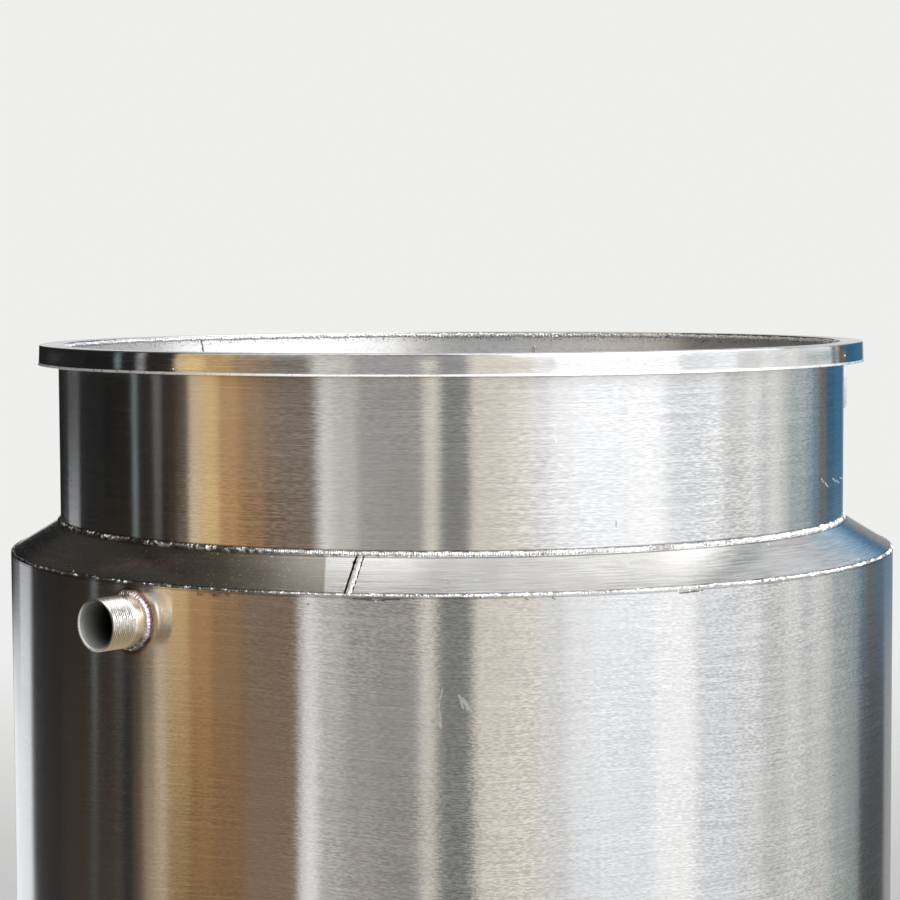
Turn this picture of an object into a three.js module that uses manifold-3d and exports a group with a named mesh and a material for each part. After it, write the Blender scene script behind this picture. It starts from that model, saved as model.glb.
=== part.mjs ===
// Open-topped jacketed tank of stainless steel sheet on four tube legs.
// Units are millimetres and +Z is up. The origin is on the floor at the tank's axis.
// The upper nipple points along -Y, and azimuths run from -Y towards +X.

import * as THREE from 'three';
import { mergeVertices } from 'three/addons/utils/BufferGeometryUtils.js';
import Module from 'manifold-3d';

const wasm = await Module();
wasm.setup();

// Clearance that separate pieces keep where they meet
const GAP = 0.3;

// Facets round the large shells, round the pipes and round the feet
const SHELL_SEGMENTS = 72;
const PIPE_SEGMENTS = 32;
const FOOT_SEGMENTS = 48;

// How far a cutting body reaches past what it cuts
const CUT_REACH = 20;

// Sheet shells
const WALL = 3;
const NECK_RADIUS = 400;
const JACKET_RADIUS = 450;
const RIM_TOP = 1400;
const NECK_FOOT = 1223;
const JACKET_TOP = 1192;
const INNER_FOOT = 400;
const JACKET_FOOT = 370;
const BOTTOM_SLOPE = THREE.MathUtils.degToRad(18);

// Rolled angle ring round the mouth: its lip is the flared toe of the hanging leg
const RIM = { radius: 419.6, height: 20, root: 3, edge: 1.2 };
const LIP = { flare: 1.4, height: 3.4, round: 0.7 };

// Weld beads: width along the surface and height above it
const SHOULDER_BEAD = { width: 3.4, height: 0.9 };
const RIM_BEAD = { width: 4, height: 1.3 };
const BOTTOM_BEAD = { leg: 3.5, height: 0.9 };
const NECK_FILLET = 4.2;
const PIPE_FILLET = 7;

// How far a fillet's face bulges, as a part of its leg, and the steps across it
const FILLET_BULGE = 0.72;
const FILLET_STEPS = 4;

// Butt seam across the cone ring
const SEAM_AZIMUTH = 28.2;
const SEAM_GROOVE = { width: 1.8, depth: 1.5 };
const SEAM_BEAD = { width: 5, height: 0.8, offset: 3.7 };

// Threaded nipples in the jacket, DN40 pipe
const NIPPLE_RADIUS = 24.15;
const NIPPLE_WALL = 3.2;
const NIPPLE_REACH = 41.7;
const NIPPLE_INSIDE = 10;
const NIPPLE_BEVEL = 1.4;
const UPPER_NIPPLE = { height: RIM_TOP - 241.4, azimuth: 0 };
const DRAIN_NIPPLE = { height: 430, azimuth: 180 };

// Outlet under the vessel, DN50 pipe
const OUTLET_RADIUS = 30.15;
const OUTLET_WALL = 3;
const OUTLET_END = 130;

// Legs
const LEG_AZIMUTHS = [45, 135, 225, 315];
const LEG_RADIUS = 30.15;
const LEG_WALL = 3;
const LEG_TOP = 552;
const LEG_CAP = 4;
const FOOT_RADIUS = 62;
const FOOT_THICKNESS = 8;
const PAD = { width: 104, bottom: 392, top: 572, thickness: 4, corner: 14 };

// Small plate under the rim
const LUG = { azimuth: 135.8, reach: 15.4, height: 71, thickness: 5, corner: 6 };

const degrees = (angle) => THREE.MathUtils.degToRad(angle);
const point = (radius, height) => new THREE.Vector2(radius, height);

const steel = (color, roughness) => new THREE.MeshStandardMaterial({ color, roughness, metalness: 1 });
const BRUSHED = steel(0xc4c5c3, 0.32);
const BEAD = steel(0xd5d3cf, 0.45);
const THREADED = steel(0xb9ab93, 0.38);
const TUBE = steel(0xbfc1c0, 0.3);

const tank = new THREE.Group();

function addPiece(name, geometry, material) {
  const mesh = new THREE.Mesh(geometry, material);
  mesh.name = name;
  tank.add(mesh);
}

// A ring whose cross-section is a closed outline of radius and height, turned about +Z
function ring(outline, segments = SHELL_SEGMENTS) {
  const geometry = new THREE.LatheGeometry([...outline, outline[0]], segments);
  return geometry.rotateX(Math.PI / 2);
}

// Solid from a closed geometry, for cutting and joining
function toSolid(geometry) {
  const bare = geometry.clone();
  bare.deleteAttribute('normal');
  bare.deleteAttribute('uv');
  const merged = mergeVertices(bare, 1e-4);
  return new wasm.Manifold(new wasm.Mesh({
    numProp: 3,
    vertProperties: merged.attributes.position.array,
    triVerts: new Uint32Array(merged.index.array),
  }));
}

function toGeometry(solid) {
  const mesh = solid.getMesh();
  const geometry = new THREE.BufferGeometry();
  geometry.setAttribute('position', new THREE.BufferAttribute(mesh.vertProperties, 3));
  geometry.setIndex(new THREE.BufferAttribute(mesh.triVerts, 1));
  geometry.computeVertexNormals();
  return geometry;
}

// Plain cylindrical sheet between two heights
function shellOutline(radius, bottom, top) {
  return [
    point(radius, bottom),
    point(radius, top),
    point(radius - WALL, top),
    point(radius - WALL, bottom),
  ];
}

// Conical bottom that falls from the foot of a shell to the outlet pipe
function bottomCone(radius, foot) {
  const hole = OUTLET_RADIUS + GAP;
  const drop = WALL / Math.cos(BOTTOM_SLOPE);
  const lowest = foot - (radius - hole) * Math.tan(BOTTOM_SLOPE);
  const outline = [
    point(hole, lowest),
    point(radius, foot),
    point(radius - drop / Math.tan(BOTTOM_SLOPE), foot),
    point(hole, lowest + drop),
  ];
  return { outline, lowest, inside: lowest + drop };
}

// Bead lying on a cylinder, outside it or, with side -1, inside it
function beadOutline(radius, height, bead, side) {
  const foot = radius + side * GAP;
  const crest = foot + side * bead.height;
  const outline = [
    point(foot, height - bead.width / 2),
    point(crest, height - bead.width / 4),
    point(crest, height + bead.width / 4),
    point(foot, height + bead.width / 2),
  ];
  return side > 0 ? outline : outline.reverse();
}

// Bead at a corner, from one toe to the other, drawn towards a crest
function cornerBead(corner, first, second, leg, crest) {
  const start = corner.clone().addScaledVector(first, leg);
  const end = corner.clone().addScaledVector(second, leg);
  return [corner, ...new THREE.QuadraticBezierCurve(start, crest, end).getPoints(FILLET_STEPS)];
}

// Fillet in an inside corner, bulging between its two toes
function filletOutline(corner, first, second, leg) {
  const bulge = FILLET_BULGE * leg;
  const crest = corner.clone().addScaledVector(first, bulge).addScaledVector(second, bulge);
  return cornerBead(corner, first, second, leg, crest);
}

// Bead over an outside corner, its middle standing a height out from the corner
function cappingOutline(corner, first, second, leg, height) {
  const outwards = first.clone().add(second).negate();
  const reach = leg / 2 + (2 * height) / outwards.length();
  const crest = corner.clone().addScaledVector(outwards, reach);
  return cornerBead(corner, first, second, leg, crest);
}

// Inner vessel
const UP = point(0, 1);
const DOWN = point(0, -1);
const INWARDS = point(-1, 0);
const OUTWARDS = point(1, 0);
const innerEnd = bottomCone(NECK_RADIUS, INNER_FOOT - GAP);
const innerTop = RIM_TOP - WALL - GAP;
const innerCorner = point(NECK_RADIUS - WALL - GAP, INNER_FOOT);
addPiece('inner_shell', ring(shellOutline(NECK_RADIUS, INNER_FOOT, innerTop)), BRUSHED);
addPiece('inner_bottom_cone', ring(innerEnd.outline), BRUSHED);
addPiece(
  'inner_bottom_weld',
  ring(filletOutline(innerCorner, UP, INWARDS, BOTTOM_BEAD.leg)),
  BEAD,
);

// Rolled angle: flat leg on the shell's edge, hanging leg with a slightly flared, rounded toe
function rimOutline() {
  const inner = NECK_RADIUS - WALL;
  const hanging = RIM.radius - WALL;
  const foot = RIM_TOP - RIM.height;
  const lip = RIM.radius + LIP.flare;
  return [
    point(inner, RIM_TOP - WALL),
    point(hanging - RIM.root, RIM_TOP - WALL),
    point(hanging, RIM_TOP - WALL - RIM.root),
    point(hanging, foot + LIP.round),
    point(hanging + LIP.round, foot),
    point(lip - LIP.round, foot),
    point(lip, foot + LIP.round),
    point(lip, foot + LIP.height / 2),
    point(RIM.radius, foot + LIP.height),
    point(RIM.radius, RIM_TOP - RIM.edge),
    point(RIM.radius - RIM.edge, RIM_TOP),
    point(inner, RIM_TOP),
  ];
}
addPiece('rim_angle', ring(rimOutline()), BRUSHED);
addPiece(
  'rim_weld',
  ring(beadOutline(NECK_RADIUS - WALL, RIM_TOP - WALL, RIM_BEAD, -1)),
  BEAD,
);

// Cone ring between the neck and the jacket
const coneTop = point(NECK_RADIUS + GAP, NECK_FOOT);
const coneFoot = point(JACKET_RADIUS, JACKET_TOP + GAP);
const slope = Math.atan2(coneTop.y - coneFoot.y, coneFoot.x - coneTop.x);
const coneDrop = WALL / Math.cos(slope);
const downSlope = point(Math.cos(slope), -Math.sin(slope));
const coneInset = coneDrop / Math.tan(slope);

// Lays a piece made across x, along y and up z on the cone's outer face at an azimuth
function placeOnCone(geometry, azimuth) {
  const middle = coneTop.clone().lerp(coneFoot, 0.5);
  geometry.rotateX(slope);
  geometry.translate(0, -middle.x, middle.y);
  return geometry.rotateZ(degrees(azimuth));
}

function coneGeometry() {
  const blank = ring([
    point(coneTop.x, coneTop.y - coneDrop),
    point(coneFoot.x - coneInset, coneFoot.y),
    coneFoot,
    coneTop,
  ]);
  const length = coneTop.distanceTo(coneFoot) + 2 * CUT_REACH;
  const groove = new THREE.BoxGeometry(SEAM_GROOVE.width, length, 2 * SEAM_GROOVE.depth);
  return toGeometry(toSolid(blank).subtract(toSolid(placeOnCone(groove, SEAM_AZIMUTH))));
}
addPiece('closing_cone', coneGeometry(), BRUSHED);

function coneSeamBead() {
  const length = coneTop.distanceTo(coneFoot) - 2 * (NECK_FILLET + GAP);
  const section = new THREE.Shape();
  section.absellipse(0, 0, SEAM_BEAD.width / 2, SEAM_BEAD.height, 0, Math.PI);
  const bead = new THREE.ExtrudeGeometry(section, { depth: length, bevelEnabled: false, curveSegments: 6 });
  bead.translate(SEAM_BEAD.offset, 0, -length / 2);
  bead.rotateX(Math.PI / 2);
  bead.translate(0, 0, GAP);
  return placeOnCone(bead, SEAM_AZIMUTH);
}
addPiece('cone_seam_weld', coneSeamBead(), BEAD);

const neckCorner = point(coneTop.x, coneTop.y + GAP / Math.cos(slope));
addPiece(
  'neck_weld',
  ring(filletOutline(neckCorner, downSlope, UP, NECK_FILLET)),
  BEAD,
);

// Jacket with the holes for its two nipples
const jacketEnd = bottomCone(JACKET_RADIUS, JACKET_FOOT - GAP);
const jacketCorner = point(JACKET_RADIUS + GAP, JACKET_FOOT - 2 * GAP);
const underSlope = point(-Math.cos(BOTTOM_SLOPE), -Math.sin(BOTTOM_SLOPE));

// Turns a piece made round +Z so that it points straight out at an azimuth, from the tank's axis
function pointOutwards(geometry, height, azimuth) {
  geometry.rotateX(Math.PI / 2);
  geometry.rotateZ(degrees(azimuth));
  return geometry.translate(0, 0, height);
}

function jacketGeometry() {
  let shell = toSolid(ring(shellOutline(JACKET_RADIUS, JACKET_FOOT, JACKET_TOP)));
  const hole = NIPPLE_RADIUS + GAP;
  for (const { height, azimuth } of [UPPER_NIPPLE, DRAIN_NIPPLE]) {
    const drill = new THREE.CylinderGeometry(hole, hole, 2 * CUT_REACH, PIPE_SEGMENTS);
    drill.rotateX(Math.PI / 2);
    drill.translate(0, 0, JACKET_RADIUS);
    shell = shell.subtract(toSolid(pointOutwards(drill, height, azimuth)));
  }
  return toGeometry(shell);
}
addPiece('jacket_shell', jacketGeometry(), BRUSHED);
addPiece('jacket_bottom_cone', ring(jacketEnd.outline), BRUSHED);
addPiece(
  'jacket_bottom_weld',
  ring(cappingOutline(jacketCorner, underSlope, UP, BOTTOM_BEAD.leg, BOTTOM_BEAD.height)),
  BEAD,
);
addPiece('shoulder_weld', ring(beadOutline(JACKET_RADIUS, JACKET_TOP, SHOULDER_BEAD, 1)), BEAD);

// Pipe nipple with a bevelled mouth
function nippleGeometry({ height, azimuth }) {
  const mouth = JACKET_RADIUS + NIPPLE_REACH;
  const bore = NIPPLE_RADIUS - NIPPLE_WALL;
  const tube = ring([
    point(bore, JACKET_RADIUS - NIPPLE_INSIDE),
    point(NIPPLE_RADIUS, JACKET_RADIUS - NIPPLE_INSIDE),
    point(NIPPLE_RADIUS, mouth - NIPPLE_BEVEL),
    point(NIPPLE_RADIUS - NIPPLE_BEVEL, mouth),
    point(bore, mouth),
  ], PIPE_SEGMENTS);
  return pointOutwards(tube, height, azimuth);
}

// Weld collar round a nipple, cut to the curve of the jacket
function collarGeometry({ height, azimuth }) {
  const back = JACKET_RADIUS - PIPE_FILLET;
  const corner = point(NIPPLE_RADIUS + GAP, JACKET_RADIUS);
  const [, ...face] = filletOutline(corner, OUTWARDS, UP, PIPE_FILLET);
  const toe = corner.x + PIPE_FILLET;
  const collar = ring([point(corner.x, back), point(toe, back), ...face], PIPE_SEGMENTS);
  const low = height - toe - CUT_REACH;
  const high = height + toe + CUT_REACH;
  const jacket = ring([
    point(back - CUT_REACH, low),
    point(JACKET_RADIUS + GAP, low),
    point(JACKET_RADIUS + GAP, high),
    point(back - CUT_REACH, high),
  ]);
  return toGeometry(toSolid(pointOutwards(collar, height, azimuth)).subtract(toSolid(jacket)));
}
addPiece('upper_nipple', nippleGeometry(UPPER_NIPPLE), THREADED);
addPiece('upper_nipple_weld', collarGeometry(UPPER_NIPPLE), BEAD);
addPiece('drain_nipple', nippleGeometry(DRAIN_NIPPLE), THREADED);
addPiece('drain_nipple_weld', collarGeometry(DRAIN_NIPPLE), BEAD);

// Outlet pipe from the inner end down through the jacket's end
const outletBore = OUTLET_RADIUS - OUTLET_WALL;
addPiece('outlet_pipe', ring([
  point(outletBore, OUTLET_END),
  point(OUTLET_RADIUS - NIPPLE_BEVEL, OUTLET_END),
  point(OUTLET_RADIUS, OUTLET_END + NIPPLE_BEVEL),
  point(OUTLET_RADIUS, innerEnd.inside),
  point(outletBore, innerEnd.inside),
], PIPE_SEGMENTS), THREADED);
const outletCorner = point(OUTLET_RADIUS + GAP, jacketEnd.lowest - GAP);
addPiece(
  'outlet_weld',
  ring(filletOutline(outletCorner, DOWN, OUTWARDS, PIPE_FILLET), PIPE_SEGMENTS),
  BEAD,
);

// Plate with rounded corners, centred on the origin in x and y
function roundedPlate(width, height, corner, thickness) {
  const x = width / 2 - corner;
  const y = height / 2 - corner;
  const shape = new THREE.Shape();
  shape.absarc(x, y, corner, 0, Math.PI / 2);
  shape.absarc(-x, y, corner, Math.PI / 2, Math.PI);
  shape.absarc(-x, -y, corner, Math.PI, 1.5 * Math.PI);
  shape.absarc(x, -y, corner, 1.5 * Math.PI, 2 * Math.PI);
  return new THREE.ExtrudeGeometry(shape, { depth: thickness, bevelEnabled: false, curveSegments: 4 });
}

// Curved pad between a leg and the jacket
function padGeometry(azimuth) {
  const inner = JACKET_RADIUS + GAP;
  const outer = inner + PAD.thickness;
  const low = PAD.bottom - CUT_REACH;
  const high = PAD.top + CUT_REACH;
  const band = ring([point(inner, low), point(outer, low), point(outer, high), point(inner, high)]);
  const block = roundedPlate(PAD.width, PAD.top - PAD.bottom, PAD.corner, 2 * CUT_REACH);
  block.translate(0, 0, JACKET_RADIUS - CUT_REACH);
  pointOutwards(block, (PAD.bottom + PAD.top) / 2, azimuth);
  return toGeometry(toSolid(band).intersect(toSolid(block)));
}

// Moves a piece made on the origin out to the legs' pitch circle
function placeAtLeg(geometry, azimuth) {
  geometry.translate(0, -(JACKET_RADIUS + PAD.thickness + LEG_RADIUS + 2 * GAP), 0);
  return geometry.rotateZ(degrees(azimuth));
}

LEG_AZIMUTHS.forEach((azimuth, index) => {
  const number = index + 1;
  const tube = ring([
    point(LEG_RADIUS - LEG_WALL, FOOT_THICKNESS + GAP),
    point(LEG_RADIUS, FOOT_THICKNESS + GAP),
    point(LEG_RADIUS, LEG_TOP),
    point(LEG_RADIUS - LEG_WALL, LEG_TOP),
  ], PIPE_SEGMENTS);
  const cap = new THREE.CylinderGeometry(LEG_RADIUS, LEG_RADIUS, LEG_CAP, PIPE_SEGMENTS);
  cap.rotateX(Math.PI / 2).translate(0, 0, LEG_TOP + GAP + LEG_CAP / 2);
  const foot = new THREE.CylinderGeometry(FOOT_RADIUS, FOOT_RADIUS, FOOT_THICKNESS, FOOT_SEGMENTS);
  foot.rotateX(Math.PI / 2).translate(0, 0, FOOT_THICKNESS / 2);
  addPiece(`leg_${number}`, placeAtLeg(tube, azimuth), TUBE);
  addPiece(`leg_cap_${number}`, placeAtLeg(cap, azimuth), TUBE);
  addPiece(`leg_pad_${number}`, padGeometry(azimuth), BRUSHED);
  addPiece(`foot_plate_${number}`, placeAtLeg(foot, azimuth), BRUSHED);
});

// Lug: upright plate between the neck and the hanging leg of the rim
function lugGeometry() {
  const top = RIM_TOP - WALL - GAP;
  const base = NECK_RADIUS + GAP;
  const tip = base + LUG.reach;
  const bottom = top - LUG.height;
  const shape = new THREE.Shape();
  shape.moveTo(base, top);
  shape.lineTo(base, bottom);
  shape.lineTo(tip - LUG.corner, bottom);
  shape.absarc(tip - LUG.corner, bottom + LUG.corner, LUG.corner, -Math.PI / 2, 0);
  shape.lineTo(tip, top - RIM.root - GAP);
  shape.lineTo(tip - RIM.root - GAP, top);
  const plate = new THREE.ExtrudeGeometry(shape, {
    depth: LUG.thickness,
    bevelEnabled: false,
    curveSegments: 4,
  });
  plate.translate(0, 0, -LUG.thickness / 2);
  plate.rotateX(Math.PI / 2);
  return plate.rotateZ(degrees(LUG.azimuth - 90));
}
addPiece('rim_lug', lugGeometry(), BRUSHED);

export default tank;
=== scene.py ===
"""Open-topped jacketed tank of brushed stainless sheet, dressed piece by piece.

Shapes are drawn in millimetres and finished in metres. Azimuths run from -Y towards +X.
"""

import logging
import math
from collections.abc import Callable, Sequence
from dataclasses import dataclass, field
from enum import Enum

import bmesh
import bpy
from bmesh.types import BMesh
from mathutils import Matrix, Vector, noise


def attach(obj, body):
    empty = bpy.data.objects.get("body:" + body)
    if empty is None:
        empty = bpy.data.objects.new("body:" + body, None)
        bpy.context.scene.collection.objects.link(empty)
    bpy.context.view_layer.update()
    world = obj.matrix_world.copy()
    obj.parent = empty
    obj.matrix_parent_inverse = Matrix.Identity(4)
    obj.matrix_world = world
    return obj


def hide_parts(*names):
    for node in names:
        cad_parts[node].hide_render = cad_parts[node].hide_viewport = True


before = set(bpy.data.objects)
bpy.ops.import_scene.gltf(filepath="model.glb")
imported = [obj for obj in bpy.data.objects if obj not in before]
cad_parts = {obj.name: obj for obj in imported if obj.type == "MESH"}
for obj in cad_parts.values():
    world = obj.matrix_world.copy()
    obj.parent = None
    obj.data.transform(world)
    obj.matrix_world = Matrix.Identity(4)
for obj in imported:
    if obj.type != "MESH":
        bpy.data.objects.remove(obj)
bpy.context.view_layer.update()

LOG = logging.getLogger("tank")

MM = 0.001
CLOSE = 0.001
ROUND_STEPS = 360
PIPE_STEPS = 144
TUBE_STEPS = 96
WOBBLE_RADIUS = 420.0
PHOTO_AZIMUTH = 40.55
UP = Vector((0.0, 0.0, 1.0))
LEVEL = (1.0, 1.0, 0.0)
HALF_SPAN = 0.45

Colour = tuple[float, float, float]
Socket = bpy.types.NodeSocket
Outputs = bpy.types.NodeOutputs

# Painted shade along the toes of welds.
TOE_SHADE: Colour = (0.03, 0.028, 0.026)
# Soot and painted shade on weld beads.
SOOT_AND_SHADE: Colour = (0.05, 0.045, 0.04)
BLACK: Colour = (0.03, 0.03, 0.03)
PITTED: Colour = (0.1, 0.1, 0.1)
PALE_FLECK: Colour = (0.92, 0.92, 0.92)


# Drawing

@dataclass(frozen=True)
class Corner:
    """One corner of a section, at a radius and a height, with how far it is rounded off."""

    radius: float
    height: float
    rounding: float = 0.0


@dataclass(frozen=True)
class Place:
    """A point on a weld's path, with the direction its face looks and the direction across it."""

    origin: Vector
    out: Vector
    across: Vector


def outwards(azimuth: float) -> Vector:
    """Level direction away from the axis at an azimuth in degrees."""
    angle = math.radians(azimuth)
    return Vector((math.sin(angle), -math.cos(angle), 0.0))


def spot(radius: float, azimuth: float, height: float) -> Vector:
    """Point of the tank in metres, from a radius and a height in millimetres."""
    return (outwards(azimuth) * radius + UP * height) * MM


def level_side(azimuth: float) -> Vector:
    """Level direction along a ring at an azimuth, towards larger azimuths."""
    return UP.cross(outwards(azimuth))


def round_corners(bm: BMesh, corners: Sequence[bmesh.types.BMVert], size: float,
                  segments: int) -> None:
    """Rounds corners of a flat outline.

    Args:
        bm: The outline.
        corners: The corners that are rounded.
        size: How far each is rounded off.
        segments: Steps round a corner.
    """
    bmesh.ops.bevel(bm, geom=corners, offset=size, offset_type="OFFSET", segments=segments,
                    profile=0.5, affect="VERTICES", material=-1)


def draw_section(corners: Sequence[Corner], row: float = 40.0, segments: int = 4) -> BMesh:
    """Draws a closed section at azimuth 0, rounds its corners and splits its long sides.

    Args:
        corners: The section's corners in order.
        row: Longest side left whole, in millimetres.
        segments: Steps round each rounded corner.

    Returns:
        A mesh of the section's edges.
    """
    bm = bmesh.new()
    verts = [bm.verts.new((0.0, -c.radius, c.height)) for c in corners]
    bm.faces.new(verts)
    for rounding in sorted({c.rounding for c in corners if c.rounding}):
        chosen = [v for v, c in zip(verts, corners) if c.rounding == rounding]
        round_corners(bm, chosen, rounding, segments)
    for edge in bm.edges[:]:
        cuts = int(edge.calc_length() / row)
        if cuts:
            bmesh.ops.subdivide_edges(bm, edges=[edge], cuts=cuts)
    bmesh.ops.delete(bm, geom=bm.faces[:], context="FACES_ONLY")
    on_axis = [e for e in bm.edges if all(abs(v.co.y) < CLOSE for v in e.verts)]
    bmesh.ops.delete(bm, geom=on_axis, context="EDGES")
    return bm


def turn(bm: BMesh, steps: int = ROUND_STEPS) -> BMesh:
    """Turns a section into a ring about the upright axis.

    Args:
        bm: The section's edges.
        steps: Facets round the ring.

    Returns:
        The same mesh.
    """
    bmesh.ops.spin(bm, geom=bm.verts[:] + bm.edges[:], cent=(0, 0, 0), axis=UP, angle=math.tau,
                   steps=steps, use_merge=True)
    poles = [v for v in bm.verts if math.hypot(v.co.x, v.co.y) < CLOSE]
    bmesh.ops.remove_doubles(bm, verts=poles, dist=CLOSE)
    return bm


def draw_tube(inner: float, outer: float, foot: float, top: float,
              steps: int = ROUND_STEPS) -> BMesh:
    """Draws a plain tube about the upright axis.

    Args:
        inner: Inner radius.
        outer: Outer radius.
        foot: Height of its lower end.
        top: Height of its upper end.
        steps: Facets round the tube.

    Returns:
        The tube's mesh.
    """
    return turn(draw_section([Corner(inner, foot), Corner(outer, foot), Corner(outer, top),
                              Corner(inner, top)]), steps)


def wobble(bm: BMesh, amount: float, size: float, seed: float) -> BMesh:
    """Lets a rolled sheet wander in and out a little, both of its faces alike.

    Args:
        bm: A ring about the upright axis.
        amount: Farthest a point may move.
        size: Length of a wave along the sheet.
        seed: Chooses the pattern.

    Returns:
        The same mesh.
    """
    for vert in bm.verts:
        out = Vector((vert.co.x, vert.co.y, 0.0)).normalized()
        read = out * (WOBBLE_RADIUS / size) + Vector((seed, seed, vert.co.z / size))
        vert.co += out * (amount * noise.noise(read))
    return bm


def point_outwards(azimuth: float, height: float) -> Matrix:
    """Turn and lift that carry a pipe made about +Z to one that points out at an azimuth."""
    lay = Matrix.Rotation(math.pi / 2, 4, "X")
    return Matrix.Translation(UP * height) @ Matrix.Rotation(math.radians(azimuth), 4, "Z") @ lay


def bevel_rims(bm: BMesh, width: float, angle: float = 50.0) -> None:
    """Rounds each edge that turns by more than an angle.

    Args:
        bm: The mesh.
        width: Width of the rounding.
        angle: Smallest turn, in degrees, that is rounded.
    """
    bmesh.ops.recalc_face_normals(bm, faces=bm.faces[:])
    sharp = [e for e in bm.edges if e.is_manifold and e.calc_face_angle() > math.radians(angle)]
    bmesh.ops.bevel(bm, geom=sharp, offset=width, offset_type="OFFSET", segments=2, profile=0.5,
                    affect="EDGES", material=-1)


def thicken(bm: BMesh, way: Colour) -> None:
    """Pulls a flat outline out into a plate.

    Args:
        bm: The outline.
        way: How far it is pulled along x, y and z.
    """
    new = bmesh.ops.extrude_face_region(bm, geom=bm.faces[:])["geom"]
    moved = [v for v in new if isinstance(v, bmesh.types.BMVert)]
    bmesh.ops.translate(bm, vec=way, verts=moved)


def keep_mesh(name: str, bm: BMesh) -> bpy.types.Mesh:
    """Turns a drawn shape, which is used up, into a mesh."""
    mesh = bpy.data.meshes.new(name)
    bm.to_mesh(mesh)
    bm.free()
    return mesh


def set_down(name: str, data: bpy.types.ID) -> bpy.types.Object:
    """Sets a mesh or a camera down in the scene, at the origin."""
    thing = bpy.data.objects.new(name, data)
    bpy.context.scene.collection.objects.link(thing)
    return thing


def carve(bm: BMesh, cutter: BMesh) -> BMesh:
    """Cuts one closed mesh out of another.

    Args:
        bm: The mesh that is cut.
        cutter: The mesh that is taken away. It is used up.

    Returns:
        The cut mesh.
    """
    blocks = []
    for shape in (bm, cutter):
        bmesh.ops.recalc_face_normals(shape, faces=shape.faces[:])
        blocks.append(set_down("blank", keep_mesh("blank", shape)))
    body, tool = blocks
    cut = body.modifiers.new("cut", "BOOLEAN")
    cut.operation, cut.solver, cut.object = "DIFFERENCE", "EXACT", tool
    result = bmesh.new()
    result.from_object(body, bpy.context.evaluated_depsgraph_get())
    for block in blocks:
        bpy.data.meshes.remove(block.data)
    return result


def finish(name: str, bm: BMesh, material: bpy.types.Material,
           nodes: Sequence[str] = (), smooth: float = 40.0) -> bpy.types.Object:
    """Turns a drawn shape into a piece of the tank.

    Args:
        name: The piece's name.
        bm: Its shape in millimetres. It is used up.
        material: Its finish.
        nodes: CAD nodes that it stands for.
        smooth: Edges that turn by less than this, in degrees, are shaded smooth.

    Returns:
        The piece.
    """
    bmesh.ops.recalc_face_normals(bm, faces=bm.faces[:])
    bmesh.ops.scale(bm, vec=(MM, MM, MM), verts=bm.verts[:])
    mesh = keep_mesh(name, bm)
    mesh.polygons.foreach_set("use_smooth", [True] * len(mesh.polygons))
    mesh.set_sharp_from_angle(angle=math.radians(smooth))
    mesh.materials.append(material)
    piece = set_down(name, mesh)
    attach(piece, "root")
    if nodes:
        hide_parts(*nodes)
    LOG.info("%s: %d faces", name, len(mesh.polygons))
    return piece


class Wave(float, Enum):
    """How long the waves are that make a weld bead uneven, in millimetres."""

    GRIT = 1.7
    RAGGED_EDGE = 1.9
    EDGE = 5.0
    LUMP = 8.0
    STRAY = 11.0
    SWELL = 17.0
    DRIFT = 23.0


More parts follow.
